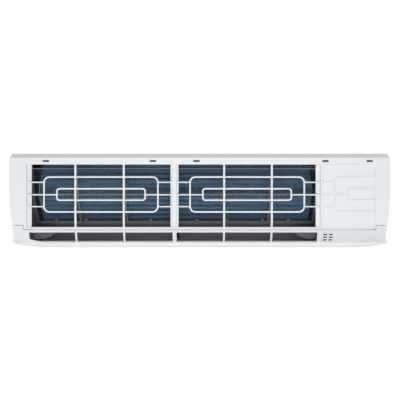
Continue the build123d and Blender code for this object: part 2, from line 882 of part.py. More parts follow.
def drain_pan():
    """The trough under the front coil. Its rear wall is the tongue close to the fan."""
    tall = pan_low + pan_floor
    pan = block(pan_left, pan_right, pan_rear, pan_front, pan_low, tall)
    pan += block(pan_left, pan_right, pan_rear, pan_rear + pan_floor, pan_low, pan_rear_top)
    pan += block(pan_left, pan_right, pan_front - pan_floor, pan_front, pan_low, pan_front_top())
    for left in (pan_left, pan_right - pan_floor):
        pan += block(left, left + pan_floor, pan_rear, pan_front, pan_low, spigot_height + spigot_radius + 3)
    tongue = pan.edges().filter_by(Axis.X).sort_by(Axis.Z)
    low_rear = [edge for edge in tongue if abs(edge.center().Z - pan_low) < 0.01 and edge.center().Y > -pan_rear - 0.01]
    pan = fillet(low_rear, 2.5)
    for left, right in ((pan_left - spigot_length, pan_left + 1), (pan_right - 1, pan_right + spigot_length)):
        pan += rod(left, right, spigot_setback, spigot_height, spigot_radius)
    for left, right in (
        (pan_left - spigot_length - 1, pan_left + pan_floor + 1),
        (pan_right - pan_floor - 1, pan_right + spigot_length + 1),
    ):
        pan -= rod(left, right, spigot_setback, spigot_height, spigot_radius - spigot_wall)
    return pan


def drain_plug():
    """The rubber plug in the left outlet, which isn't used."""
    bore = spigot_radius - spigot_wall
    end = pan_left - spigot_length
    stem = rod(end - plug_head, pan_left - 2, spigot_setback, spigot_height, bore - press_gap)
    head = rod(end - plug_head, end - press_gap, spigot_setback, spigot_height, spigot_radius + 1)
    return stem + head


def drain_pipe():
    """The moulded pipe from the pan's right outlet, down and back to its own outlet at the wall."""
    start = pan_right + spigot_length
    points = [
        (start + 1, spigot_setback, spigot_height),
        (drain_x, spigot_setback, spigot_height),
        (drain_x, drain_turn, drain_height),
        (drain_x, nut_end, drain_height),
    ]
    bore = spigot_radius - spigot_wall
    pipe = swept(points, [drain_bend, 2 * drain_bend], spigot_radius, bore)
    socket = tube_between(
        pan_right + 2, start + 1.5, spigot_setback, spigot_height,
        spigot_radius + spigot_wall, spigot_radius + pin_gap,
    )
    web = tube_between(start + 0.5, start + 1.5, spigot_setback, spigot_height, spigot_radius + 1, bore)
    return pipe + socket + web


# --- Fan and its drive --------------------------------------------------------------------------


def pan_front_top():
    """The pan's front wall ends just under the filter guide's front bar."""
    turn = math.radians(guide_front_angle)
    return filter_centre_height + (filter_radius - 4) * math.cos(turn) - fit_gap


def fan_rotor():
    """The cross-flow wheel: leaning blades between rings, a closed disc at each end, a hub inside."""
    inner = fan_radius - blade_chord - 1
    pieces = []
    gap = (fan_right - fan_left - ring_thick) / (ring_count - 1)
    for index in range(1, ring_count - 1):
        left = fan_left + gap * index
        pieces.append(tube_between(left, left + ring_thick, fan_setback, fan_height, fan_radius, inner))
    pieces.append(rod(fan_left, fan_left + ring_thick, fan_setback, fan_height, fan_radius))
    pieces.append(rod(fan_right - ring_thick, fan_right, fan_setback, fan_height, fan_radius))
    pieces.append(rod(fan_right - hub_length, fan_right, fan_setback, fan_height, hub_radius))
    pieces.append(rod(fan_left, fan_left + hub_length, fan_setback, fan_height, hub_radius))
    middle = Plane.YZ.offset(fan_left + 1) * Pos(-fan_setback, fan_height)
    for index in range(blade_count):
        seat = Rot(0, 0, 360 * index / blade_count) * Pos(fan_radius - blade_chord / 2, 0) * Rot(0, 0, blade_lean)
        blade = middle * seat * Rectangle(blade_chord, blade_thick)
        pieces.append(extrude(blade, amount=fan_right - fan_left - 2))
    wheel = joined(pieces)
    wheel = wheel & rod(fan_left, fan_right, fan_setback, fan_height, fan_radius)
    wheel -= rod(fan_right - hub_length - 1, fan_right + 1, fan_setback, fan_height, shaft_radius + 0.04)
    wheel -= rod(fan_left - 1, fan_left + hub_length + 1, fan_setback, fan_height, shaft_radius + 0.04)
    screw_x = fan_right - hub_length / 2
    wheel -= Pos(screw_x, -fan_setback, fan_height + hub_radius) * Cylinder(set_screw_radius + 0.05, 2 * hub_radius - 8)
    return wheel


def hub_screw():
    """The screw in the hub that grips the motor shaft."""
    screw_x = fan_right - hub_length / 2
    low = shaft_radius + 0.1
    size = Cylinder(set_screw_radius, hub_radius - low + 1)
    return Pos(screw_x, -fan_setback, fan_height + low + (hub_radius - low + 1) / 2) * size


def stub_shaft():
    left = duct_left - bearing_boss_length - 1
    return rod(left, fan_left + hub_length, fan_setback, fan_height, shaft_radius)


def motor_shaft():
    return rod(fan_right - hub_length, motor_left + motor_length - 8, fan_setback, fan_height, shaft_radius)


def fan_motor():
    """The moulded motor with a boss at each end for the rubber rings."""
    can = rod(
        motor_left + ring_inset + cradle_wide + 1, motor_left + motor_length - ring_inset - cradle_wide - 1,
        fan_setback, fan_height, motor_radius,
    )
    can = fillet(can.edges().filter_by(GeomType.CIRCLE), 4)
    can += rod(motor_left, motor_left + motor_length, fan_setback, fan_height, motor_boss_radius)
    can -= rod(motor_left - 1, motor_left + motor_length - 7.7, fan_setback, fan_height, shaft_radius + pin_gap)
    return can


def motor_rings():
    pieces = []
    for left in (motor_left + ring_inset, motor_left + motor_length - ring_inset - cradle_wide):
        pieces.append(
            tube_between(left, left + cradle_wide, fan_setback, fan_height, motor_ring_outer, motor_boss_radius + 0.05)
        )
    return Compound(pieces)


def motor_bracket():
    """The strap over the motor. Its two cheeks close the cradles round the rubber rings."""
    left = motor_left + ring_inset
    right = motor_left + motor_length - ring_inset
    strap = block(left, right, fan_setback - 20, fan_setback + 20, fan_height + motor_radius + 2.5, bracket_top)
    for cheek in (left, right - cradle_wide):
        strap += block(
            cheek, cheek + cradle_wide, fan_setback - 28, fan_setback + 28,
            fan_height + 0.1, fan_height + bracket_flange,
        )
        strap += block(cheek, cheek + cradle_wide, fan_setback - 20, fan_setback + 20, fan_height + 0.1, bracket_top)
    strap -= rod(left - 1, right + 1, fan_setback, fan_height, motor_ring_outer + 0.05)
    for screw_x, out in bracket_screw_places():
        hole = Cylinder(bracket_screw_radius + fit_gap, 3 * bracket_flange)
        strap -= Pos(screw_x, -out, fan_height + bracket_flange) * hole
    return strap


def bracket_screw_places():
    """Where the four screws pass the bracket's cheeks, as x and setback."""
    left = motor_left + ring_inset + cradle_wide / 2
    right = motor_left + motor_length - ring_inset - cradle_wide / 2
    outs = (fan_setback - bracket_screw_out, fan_setback + bracket_screw_out)
    return [(x, out) for x in (left, right) for out in outs]


def bracket_screws():
    """Four screws through the bracket's cheeks into the cradles."""
    length = bracket_flange + bracket_screw_bite
    pieces = []
    for screw_x, out in bracket_screw_places():
        top = Pos(screw_x, -out, fan_height + bracket_flange)
        shank = top * Pos(0, 0, -length / 2) * Cylinder(bracket_screw_radius, length + 1)
        head = top * Pos(0, 0, 1.1) * Cylinder(1.7 * bracket_screw_radius, 2)
        pieces.append(shank + head)
    return Compound(pieces)


def bearing_rubber():
    return tube_between(
        duct_left - bearing_boss_length, duct_left - 1, fan_setback, fan_height, bearing_outer, bearing_sleeve + 0.05
    )


def fan_bearing():
    return tube_between(
        duct_left - bearing_boss_length, duct_left - 1, fan_setback, fan_height, bearing_sleeve, shaft_radius + pin_gap
    )


# --- Coil and refrigerant pipes -----------------------------------------------------------------


def shifted(point, direction, amount):
    return point[0] + direction[0] * amount, point[1] + direction[1] * amount


def front_pack():
    """Lowest inner corner, outward and upward directions and tubes of the long front pack."""
    turn = math.radians(front_slope)
    out = (math.cos(turn), math.sin(turn))
    up = (-math.sin(turn), math.cos(turn))
    corner = shifted((fan_setback, fan_height), out, fan_radius + fan_to_coil)
    return shifted(corner, up, -front_low_end), out, up, front_tubes


def rear_pack():
    """The rear pack leans back from just inside the front pack's top."""
    corner, front_out, front_up, count = front_pack()
    turn = math.radians(rear_slope)
    out = (-math.cos(turn), math.sin(turn))
    up = (math.sin(turn), math.cos(turn))
    top = shifted(corner, front_up, count * tube_pitch - pack_drop)
    top = shifted(top, front_out, -pack_gap)
    return shifted(top, up, -rear_tubes * tube_pitch), out, up, rear_tubes


def low_pack():
    """The short upright pack that stands in the drain pan."""
    return (low_pack_rear, pan_low + pan_floor + 5), (1, 0), (0, 1), low_tubes


def pack_outline(pack, count=None):
    corner, out, up, tubes = pack
    tall = tubes * tube_pitch
    thick = 2 * row_pitch
    far = shifted(corner, out, thick)
    return side_polygon([corner, far, shifted(far, up, tall), shifted(corner, up, tall)])


def tube_centres(pack):
    corner, out, up, tubes = pack
    rows = []
    for row in (0, 1):
        start = shifted(corner, out, row_pitch * (row + 0.5))
        rows.append([shifted(start, up, tube_pitch * (index + 0.5)) for index in range(tubes)])
    return rows


def fin_pack(pack):
    """One fin pack, its outer face grooved between groups of fins, bored for the tubes."""
    corner, out, up, tubes = pack
    body = prism(pack_outline(pack), coil_left, coil_right)
    count = int((coil_right - coil_left) / fin_pitch)
    tall = tubes * tube_pitch
    middle = shifted(shifted(corner, out, 2 * row_pitch), up, tall / 2)
    turn = math.degrees(math.atan2(out[1], out[0]))
    seat = Pos(0, -middle[0], middle[1]) * Rot(-turn, 0, 0)
    grooves = []
    for index in range(count):
        left = coil_left + fin_pitch * (index + 1) - (fin_pitch - fin_thick)
        if left + fin_pitch - fin_thick < coil_right:
            groove = Box(fin_pitch - fin_thick, 2 * groove_depth, tall + 2)
            grooves.append(Pos(left + (fin_pitch - fin_thick) / 2, 0, 0) * seat * groove)
    body = body.cut(*grooves)
    bores = []
    for row in tube_centres(pack):
        for centre in row:
            bores.append(rod(coil_left - 1, coil_right + 1, centre[0], centre[1], tube_radius + 0.05))
    return body.cut(*bores)


def return_bend(first, second, plane_x, side):
    """A half ring of tube joining two tube ends beyond an end plate."""
    middle = ((first[0] + second[0]) / 2, (first[1] + second[1]) / 2)
    span = math.hypot(second[0] - first[0], second[1] - first[1])
    lean = math.degrees(math.atan2(second[1] - first[1], -(second[0] - first[0])))
    half = Rot(lean, 0, 0) * Torus(span / 2, tube_radius)
    bend = Pos(plane_x, -middle[0], middle[1]) * half
    keep = sorted((plane_x, plane_x + side * 40))
    return bend & block(*keep, middle[0] - 40, middle[0] + 40, middle[1] - 40, middle[1] + 40)


def coil_tubes():
    """All the tubes of the coil, expanded in the fins, and the bends between them."""
    pieces = []
    left_end = coil_left - end_plate_thick - 1
    right_end = coil_right + end_plate_thick + 1
    for pack in (front_pack(), rear_pack(), low_pack()):
        rows = tube_centres(pack)
        for row in rows:
            for centre in row:
                pieces.append(rod(left_end, right_end, centre[0], centre[1], tube_radius))
            for index in range(0, len(row) - 1, 2):
                pieces.append(return_bend(row[index], row[index + 1], left_end, -1))
            for index in range(1, len(row) - 1, 2):
                pieces.append(return_bend(row[index], row[index + 1], right_end, 1))
        if len(rows[0]) % 2:
            pieces.append(return_bend(rows[0][-1], rows[1][-1], left_end, -1))
        else:
            pieces.append(return_bend(rows[0][-1], rows[1][-1], right_end, 1))
    return joined(pieces)


def end_plate(left):
    """A steel plate at the coil's end. It stands on the duct cheek behind and in the pan in front."""
    right = left + end_plate_thick
    plates = []
    for pack in (front_pack(), rear_pack(), low_pack()):
        plates.append(prism(pack_outline(pack), left, right))
    corner, out, up, tubes = front_pack()
    top = shifted(corner, up, tubes * tube_pitch)
    rear_corner, rear_out, rear_up, count = rear_pack()
    rear_top = shifted(rear_corner, rear_up, count * tube_pitch)
    bridge = side_polygon(
        [
            shifted(top, up, -24),
            shifted(top, out, row_pitch),
            shifted(rear_top, rear_out, 2 * row_pitch),
            shifted(rear_top, rear_up, -20),
        ]
    )
    plates.append(prism(bridge, left, right))
    low = low_pack()[0]
    join = side_polygon(
        [
            (low[0], low[1] + 20),
            (low[0] + 2 * row_pitch, low[1] + 20),
            shifted(shifted(corner, out, 2 * row_pitch), up, 10),
            shifted(corner, up, 10),
        ]
    )
    plates.append(prism(join, left, right))
    foot = block(left, right, low[0] + 2, low[0] + 2 * row_pitch - 2, pan_low + pan_floor + fit_gap, low[1] + 1)
    plates.append(foot)
    plate = joined(plates)
    seat = rear_corner[0]
    tab = block(left, right, seat - 14, seat, coil_seat + fit_gap, rear_corner[1] + 12)
    plate += tab
    for pack in (front_pack(), rear_pack(), low_pack()):
        for row in tube_centres(pack):
            for centre in row:
                plate -= rod(left - 1, right + 1, centre[0], centre[1], tube_radius + 0.05)
    return plate


def swept(points, radii, outer, inner):
    """A round pipe along straight runs joined by arcs."""
    path = FilletPolyline(*[(x, -out, up) for x, out, up in points], radius=radii)
    start = Plane(origin=path @ 0, z_dir=path % 0)
    section = start * (Circle(outer) - Circle(inner))
    return sweep(section, path=path)


def pipe_start(row_index):
    """Where a pipe leaves the coil, at the lowest tube of the rear pack."""
    centre = tube_centres(rear_pack())[row_index][0]
    return coil_right + end_plate_thick + 1, centre[0], centre[1]


def gas_pipe():
    start = pipe_start(0)
    points = [
        (start[0] + 0.1, start[1], start[2]),
        (pipe_turn_x, start[1], start[2]),
        (pipe_turn_x, gas_setback, gas_height + 20),
        (pipe_turn_x, gas_setback, gas_height),
        (gas_end, gas_setback, gas_height),
        (gas_end, nut_end + nut_socket, gas_height),
    ]
    return swept(points, [gas_bend, 2 * gas_bend, gas_bend, gas_bend], gas_radius, gas_radius - pipe_wall)


def liquid_pipe():
    start = pipe_start(1)
    points = [
        (start[0] + 0.1, start[1], start[2]),
        (pipe_turn_x + 4, start[1], start[2]),
        (pipe_turn_x + 4, liquid_setback, liquid_height + 20),
        (pipe_turn_x + 4, liquid_setback, liquid_height),
        (liquid_end, liquid_setback, liquid_height),
        (liquid_end, nut_end + nut_socket, liquid_height),
    ]
    radii = [liquid_bend, 2 * liquid_bend, liquid_bend, liquid_bend]
    return swept(points, radii, liquid_radius, liquid_radius - pipe_wall)


def rear_rod(x, rear, front, up, radius):
    """A round bar square to the wall."""
    return Pos(x, -(rear + front) / 2, up) * Rot(90, 0, 0) * Cylinder(radius, front - rear)


def flare_nut(end_x, up, pipe_radius, flats, thread_radius):
    """A brass nut on the pipe's end, open towards the wall for the field pipe's fitting."""
    hexagon = RegularPolygon(flats / 2, 6, major_radius=False)
    body = extrude(Plane.XZ.offset(nut_end) * Pos(end_x, up) * hexagon, amount=nut_length)
    body -= rear_rod(end_x, nut_end - 1, nut_end + nut_socket, up, thread_radius)
    body -= rear_rod(end_x, nut_end, nut_end + nut_length + 1, up, pipe_radius + pin_gap)
    return body


def pipe_clamp():
    """The saddle in the rear trough that holds both pipes off the base."""
    half = clamp_length / 2
    front = gas_setback + gas_radius + clamp_wall
    top = liquid_height + liquid_radius + clamp_wall
    body = block(clamp_x - half, clamp_x + half, back_wall_front + fit_gap, front, base_high + pin_gap, top)
    body -= rod(clamp_x - half - 1, clamp_x + half + 1, gas_setback, gas_height, gas_radius + pin_gap)
    body -= rod(clamp_x - half - 1, clamp_x + half + 1, liquid_setback, liquid_height, liquid_radius + pin_gap)
    return body


# --- Electrics ----------------------------------------------------------------------------------


def electric_box():
    box = block(box_left, box_right, box_rear, box_front, box_bottom, box_top)
    box -= block(
        box_left + box_wall, box_right - box_wall, box_rear + box_wall, box_front + 1,
        box_bottom + box_wall, box_top - box_wall,
    )
    for x in (box_left + 12, box_right - 12):
        for up in (box_bottom + 14, box_top - 14):
            post = Pos(x, -(box_rear + box_wall + 4), up) * Rot(90, 0, 0) * Cylinder(3, 8)
            box += post
    for x in (box_left + 5, box_right - 5):
        middle = (box_bottom + box_top) / 2
        boss = Pos(x, -(box_front - 8), middle) * Rot(90, 0, 0) * Cylinder(4, 16)
        box += boss & block(box_left, box_right, box_rear, box_front, box_bottom, box_top)
        box -= Pos(x, -(box_front - 8), middle) * Rot(90, 0, 0) * Cylinder(1.55, 18)
    cable = Pos(box_left + 28, -(box_rear + 30), box_bottom) * Cylinder(cable_hole_radius, 12)
    return box - cable


def box_cover():
    """The steel lid of the electric box, with the hole for the hand button."""
    front = box_front + fit_gap + cover_thick
    cover = block(box_left, box_right, box_front + fit_gap, front, box_bottom, box_top)
    cover -= Pos(button_x, -front, button_height) * Rot(90, 0, 0) * Cylinder(button_radius + 0.1, 12)
    for x in (box_left + 5, box_right - 5):
        cover -= Pos(x, -front, (box_bottom + box_top) / 2) * Rot(90, 0, 0) * Cylinder(1.8, 12)
    for side in (-1, 1):
        left = button_x + side * 10 - 2
        post = block(left, left + 4, button_board_front, box_front + fit_gap, button_height - 3, button_height + 3)
        cover += post
    return cover


def cover_screws():
    pieces = []
    for x in (box_left + 5, box_right - 5):
        seat = Pos(x, 0, (box_bottom + box_top) / 2) * Rot(90, 0, 0)
        front = box_front + fit_gap + cover_thick
        pieces.append(seat * Pos(0, 0, front - 5.9) * Cylinder(1.5, 12) + seat * Pos(0, 0, front + 1.1) * Cylinder(3, 2))
    return Compound(pieces)


def aux_button():
    """The hand button: a plunger with a collar held behind the cover."""
    seat = Pos(button_x, 0, button_height) * Rot(90, 0, 0)
    tip = box_front + fit_gap + cover_thick + 2.2
    rear = button_board_front + 4.4 + button_travel + 0.2
    collar_front = box_front + fit_gap - 0.1
    stem = seat * Pos(0, 0, (tip + rear) / 2) * Cylinder(button_radius, tip - rear)
    stem = fillet(stem.faces().sort_by(Axis.Y)[0].edges(), 0.8)
    collar = seat * Pos(0, 0, collar_front - 0.6) * Cylinder(button_radius + 1.5, 1.2)
    return stem + collar


def button_switch():
    """The small board with the key switch behind the hand button."""
    board = block(
        button_x - 13, button_x + 13, button_board_front - board_thick, button_board_front,
        button_height - 9, button_height + 9,
    )
    key = block(button_x - 3, button_x + 3, button_board_front, button_board_front + 3.4, button_height - 3, button_height + 3)
    nib = Pos(button_x, -(button_board_front + 3.9), button_height) * Rot(90, 0, 0) * Cylinder(1.6, 1)
    return board + key + nib


def main_board():
    rear = box_rear + box_wall + 8
    return block(box_left + 4, box_right - 4, rear, rear + board_thick, box_bottom + 6, box_top - 6)


def board_parts():
    """The large parts on the main board, each a separate solid standing on it."""
    face = box_rear + box_wall + 8 + board_thick
    wide = (box_right - box_left) / 104
    tall = (box_top - box_bottom) / 108
    left = box_left
    low = box_bottom
    pieces = []
    for start, end, bottom, top, out in (
        (10, 38, 70, 98, 22), (48, 60, 78, 98, 15), (65, 77, 78, 98, 15), (82, 94, 78, 98, 15), (66, 90, 34, 58, 14),
        (12, 26, 12, 20, 8), (33, 47, 12, 20, 8), (54, 68, 12, 20, 8), (75, 89, 12, 20, 8),
    ):
        pieces.append(
            block(left + start * wide, left + end * wide, face, face + out, low + bottom * tall, low + top * tall)
        )
    for x, up, radius, out in ((22, 44, 9, 30), (44, 52, 5, 16), (56, 52, 5, 16)):
        pieces.append(rear_rod(left + x * wide, face, face + out, low + up * tall, radius))
    return Compound(pieces)


def terminal_block():
    """The screw terminals for the mains and the cable to the outdoor unit."""
    low = box_bottom + box_wall
    body = block(box_left + 14, box_left + 74, box_front - 40, box_front - 20, low + 0.1, low + 14)
    for index in range(4):
        x = box_left + 23.5 + 13.7 * index
        body -= block(x - 4.5, x + 4.5, box_front - 41, box_front - 19, low + 8, low + 15)
        for out in (box_front - 35, box_front - 25):
            body += Pos(x, -out, low + 9) * Cylinder(2.6, 2.4)
    return body


# --- Filters ------------------------------------------------------------------------------------


def arc_band(inner, outer, rear_angle, front_angle):
    """A ring sector round the filters' centre. Angles run from upright towards the front."""

    def place(radius, angle):
        turn = math.radians(angle)
        return filter_centre_y - radius * math.sin(turn), filter_centre_height + radius * math.cos(turn)

    middle = (rear_angle + front_angle) / 2
    edges = [
        ThreePointArc(place(outer, rear_angle), place(outer, middle), place(outer, front_angle)),
        Line(place(outer, front_angle), place(inner, front_angle)),
        ThreePointArc(place(inner, front_angle), place(inner, middle), place(inner, rear_angle)),
        Line(place(inner, rear_angle), place(outer, rear_angle)),
    ]
    return make_face(edges)


def rim_angle(width_on_arc):
    return math.degrees(width_on_arc / filter_radius)


def filter_spans():
    rail = rail_thick + filter_gap
    half = rail_thick / 2 + filter_gap
    return ((rail_left + rail, mullion_x - half), (mullion_x + half, rail_right - rail))


def filter_frame(side):
    """A moulded filter frame: a rim with a closed front, cross and long ribs, a bead with nubs."""
    left, right = filter_spans()[side]
    half = filter_thick / 2
    inner = filter_radius - half
    outer = filter_radius + half
    rear = filter_rear_angle + rim_angle(filter_rear_rim)
    rib_angle, closed_angle = filter_rib_angles
    frame = prism(arc_band(inner, outer, filter_rear_angle, filter_front_angle), left, right)
    opening = arc_band(inner - filter_thick, outer + filter_thick, rear, closed_angle)
    frame -= prism(opening, left + filter_side_rim, right - filter_side_rim)
    rib = rim_angle(filter_rib)
    band = arc_band(inner, outer, rib_angle - rib / 2, rib_angle + rib / 2)
    frame += prism(band, left + 1, right - 1)
    long_band = arc_band(inner, outer, (filter_rear_angle + rear) / 2, closed_angle + rib)
    for place in rib_places[2 * side:2 * side + 2]:
        frame += prism(long_band, place - filter_rib / 2, place + filter_rib / 2)
    sunk = outer - filter_thick / 4
    bead_end = closed_angle + rim_angle(bead_width)
    bead_band = arc_band(sunk, outer + bead_tall, closed_angle + rib / 8, bead_end)
    frame += prism(bead_band, left + rail_width, right - rail_width)
    nub_band = arc_band(sunk, outer + nub_tall, bead_end - rim_angle(nub_long + bead_width), bead_end - rib / 4)
    strut_band = arc_band(sunk, outer + bead_tall, bead_end - rib / 4, filter_front_angle - 2 * rib)
    for place in (left_nubs, right_nubs)[side]:
        frame += prism(nub_band, place - nub_width / 2, place + nub_width / 2)
        frame += prism(strut_band, place - strut_width / 2, place + strut_width / 2)
    lip_angle = math.acos((lip_height - filter_centre_height) / filter_radius)
    lip_rear = filter_radius * math.sin(lip_angle) - filter_centre_y
    lip_left = left + (rail_width if side else lip_end)
    frame += block(lip_left, right - rail_width, lip_rear, lip_front, lip_height - lip_thick, lip_height)
    tab_band = arc_band(sunk, outer + 2.5, filter_front_angle - 2.5, filter_front_angle - 0.5)
    middle = (left + right) / 2
    frame += prism(tab_band, middle - 22, middle + 22)
    return frame


def filter_net(side):
    """The fine net in the frame's windows."""
    left, right = filter_spans()[side]
    half = net_thick / 2
    rear = filter_rear_angle + rim_angle(filter_rear_rim)
    band = arc_band(filter_radius - half, filter_radius + half, rear, filter_rib_angles[1])
    sheet = prism(band, left + filter_side_rim, right - filter_side_rim)
    return sheet - filter_frame(side)


def guide_cheek(left, right):
    """An end wall of the guide that rises from the filter's edge to just under the casing."""
    top = height - ledge_depth - ledge_thick - cheek_drop
    outline = side_polygon(
        [
            (intake_rear + skirt_depth, top - 2 * skirt_depth),
            (intake_rear + skirt_depth, top),
            (intake_front - skirt_depth, top),
            (seam_setback, top - 5),
            (shelf_front - 3, shelf_height + 28),
            (shelf_front, shelf_height + 20),
            (shelf_front, filter_low + 35),
            (shelf_front - 10, filter_low + 30),
        ]
    )
    return prism(outline, left, right) - prism(arc_band(1, filter_radius, -20, 100), left - 1, right + 1)


def guide_shelf(side, end):
    """A small shelf across the cheek's front corner, rounded at its inner end."""
    reach = end - side * shelf_reach
    turn = end - side * shelf_turn
    run = shelf_reach - shelf_turn
    drop = shelf_front - shelf_middle
    radius = (run**2 + drop**2) / (2 * drop)
    half = math.asin(run / radius) / 2
    bend = (turn - side * radius * math.sin(half), -shelf_front + radius * (1 - math.cos(half)))
    edges = [
        Line((end, -shelf_rear), (reach, -shelf_rear)),
        Line((reach, -shelf_rear), (reach, -shelf_middle)),
        ThreePointArc((reach, -shelf_middle), bend, (turn, -shelf_front)),
        Line((turn, -shelf_front), (end, -shelf_front)),
        Line((end, -shelf_front), (end, -shelf_rear)),
    ]
    return extrude(Pos(0, 0, shelf_height) * make_face(edges), amount=rail_thick)


def filter_guide():
    """The grey moulded guide: three curved rails joined by a bar behind and a bar in front."""
    seat_outer = filter_radius - filter_thick / 2 - filter_gap
    seat_inner = seat_outer - rail_thick
    wall_outer = filter_radius + filter_thick / 2
    rear = guide_rear_angle
    front = guide_front_angle
    seat = arc_band(seat_inner, seat_outer, rear, front)
    wall = arc_band(seat_inner, wall_outer, rear, front)
    pieces = [
        prism(wall, rail_left, rail_left + rail_thick),
        prism(seat, rail_left, rail_left + rail_thick + rail_width),
        prism(wall, mullion_x - rail_thick / 2, mullion_x + rail_thick / 2),
        prism(seat, mullion_x - rail_width, mullion_x + rail_width),
        prism(wall, rail_right - rail_thick, rail_right),
        prism(seat, rail_right - rail_thick - rail_width, rail_right),
    ]
    rear_stop = filter_rear_angle - filter_travel - rim_angle(fit_gap)
    pieces.append(prism(arc_band(seat_inner, wall_outer, rear, rear_stop), rail_left, rail_right))
    front_stop = filter_front_angle + rim_angle(fit_gap)
    pieces.append(prism(arc_band(seat_inner, wall_outer, front_stop, front), rail_left, rail_right))
    pieces.append(guide_cheek(rail_left, rail_left + rail_thick))
    pieces.append(guide_cheek(rail_right - rail_thick, rail_right))
    pieces.append(guide_shelf(-1, rail_left))
    pieces.append(guide_shelf(1, rail_right))
    return joined(pieces)


# --- Louver and vanes ---------------------------------------------------------------------------


def louver_pivot():
    """The louver's axis, inside the mouth and nearer its lower edge."""
    run = mouth_front - lip_setback
    length = math.hypot(run, mouth_top)
    along = (run / length, mouth_top / length)
    inward = (-along[1], along[0])
    point = shifted((lip_setback, 0), along, louver_pivot_share * length)
    return shifted(point, inward, louver_pivot_inset)


def louver_sweep():
    """How far the louver's lower edge reaches from its pivot, with room round it."""
    pivot = louver_pivot()
    return math.hypot(pivot[0] - lip_setback - louver_gap, pivot[1]) + louver_gap / 2


def main_louver():
    """The long curved louver that closes the mouth, with an ear and a pin at each end."""
    blade = envelope(0) - envelope(louver_thick)
    blade = blade & block(
        louver_left, louver_right, lip_setback + louver_gap, depth + 5, -1, mouth_top - louver_gap / 2
    )
    pivot = louver_pivot()
    ear_outline = side_polygon(
        [
            (pivot[0] - 5, pivot[1] + 4),
            (pivot[0] + 4, pivot[1] + 7),
            (pivot[0] + 24, pivot[1] + 8),
            (pivot[0] + 13, pivot[1] - 14),
            (pivot[0] - 1, pivot[1] - 16),
        ]
    )
    inside = envelope(louver_thick / 2)
    for left in (louver_left, louver_right - 2.5):
        blade += prism(ear_outline, left, left + 2.5) & inside
    blade += rod(duct_left - duct_wall - 1, louver_left + 1, pivot[0], pivot[1], louver_pin_radius)
    blade += rod(louver_right - 1, duct_right + duct_wall + 7, pivot[0], pivot[1], louver_pin_radius)
    return blade


def louver_stepper():
    """The small geared motor on the right cheek that turns the louver's pin."""
    pivot = louver_pivot()
    left = duct_right + duct_wall + 0.3
    can = rod(left, left + stepper_length, pivot[0], pivot[1], stepper_radius)
    can -= rod(left - 1, left + 8, pivot[0], pivot[1], louver_pin_radius + pin_gap)
    return can


def vane_seat():
    """The vanes' pivot line on the outlet floor, set back from the louver's sweep."""
    along = floor_direction()
    pivot = louver_pivot()
    sweep = math.hypot(pivot[0] - lip_setback, pivot[1])
    limit = pivot[0] * along[0] + pivot[1] * along[1] - sweep - vane_clear
    end = floor_end_setback * along[0] + floor_end_height * along[1]
    back = end - limit + vane_front_reach
    return shifted((floor_end_setback, floor_end_height), along, -back)


def vane_place(index):
    step = (vane_last_x - vane_first_x) / (vane_count - 1)
    return vane_first_x + step * index


def vane_frame(index, x=None):
    """The place and turn of a vane's pivot: its Y runs up the floor towards the fan."""
    along = floor_direction()
    seat = vane_seat()
    centre = vane_place(index) if x is None else x
    square = (-along[1], along[0])
    return Plane(origin=(centre, -seat[0], seat[1]), x_dir=(1, 0, 0), z_dir=(0, -square[0], square[1])).location


def vane(index):
    """One upright vane: a thin leaf, a pin in the floor and a tab with a pin for the link."""
    leaf_outline = make_face(
        Polyline(
            (-vane_front_reach, vane_lift),
            (vane_rear_reach, vane_lift),
            (vane_rear_reach, vane_rear_tall),
            (-vane_front_reach, vane_front_tall),
            close=True,
        )
    )
    leaf = extrude(Plane.YZ.offset(-vane_thick / 2) * leaf_outline, amount=vane_thick)
    leaf = leaf + Pos(0, 0, (vane_lift + 3 - 2.8) / 2) * Cylinder(vane_pin_radius, vane_lift + 3 + 2.8)
    reach = link_reach + 2.2 - vane_rear_reach + 2
    tab = Pos(0, vane_rear_reach - 2 + reach / 2, tab_height) * Box(vane_thick + 2.4, reach, tab_thick)
    pin_low = tab_height
    pin_top = link_top() + 0.8
    pin = Pos(0, link_reach, (pin_low + pin_top) / 2) * Cylinder(link_pin_radius, pin_top - pin_low)
    return vane_frame(index) * (leaf + tab + pin)


def link_low():
    return tab_height + tab_thick / 2 + fit_gap


def link_top():
    return link_low() + link_thick


def link_bar():
    """The flat bar that moves all the vanes together."""
    left = crank_x - 5
    right = vane_place(vane_count - 1) + 5
    middle = (left + right) / 2
    start = vane_place(0)
    height_middle = (link_low() + link_top()) / 2
    bar = Pos(middle - start, link_reach, height_middle) * Box(right - left, link_width, link_thick)
    for index in range(vane_count):
        hole = Cylinder(link_pin_radius + 0.15, 3 * link_thick)
        bar -= Pos(vane_place(index) - start, link_reach, height_middle) * hole
    bar -= Pos(crank_x - start, link_reach, height_middle) * Cylinder(link_pin_radius + 0.15, 3 * link_thick)
    return vane_frame(0) * bar


def crank():
    """The stepper's crank. Its pin drives the end of the link bar."""
    arm_reach = link_reach + 2.2
    arm = Pos(0, arm_reach / 2 - 1.5, tab_height) * Box(5, arm_reach + 3, tab_thick)
    hub = Pos(0, 0, (tab_height + stepper_low - 0.3) / 2) * Cylinder(3.2, stepper_low - 0.3 - tab_height)
    shaft = Pos(0, 0, stepper_low + 1) * Cylinder(1.5, 6)
    pin_top = link_top() + 0.8
    pin = Pos(0, link_reach, (tab_height + pin_top) / 2) * Cylinder(link_pin_radius, pin_top - tab_height)
    return vane_frame(0, crank_x) * (arm + hub + shaft + pin)


def vane_stepper():
    can = Pos(0, 0, (stepper_low + stepper_top) / 2) * Cylinder(vane_stepper_radius, stepper_top - stepper_low)
    can -= Pos(0, 0, stepper_low) * Cylinder(1.5 + pin_gap, 9)
    return vane_frame(0, crank_x) * can


# --- Wall plate and fixings ---------------------------------------------------------------------


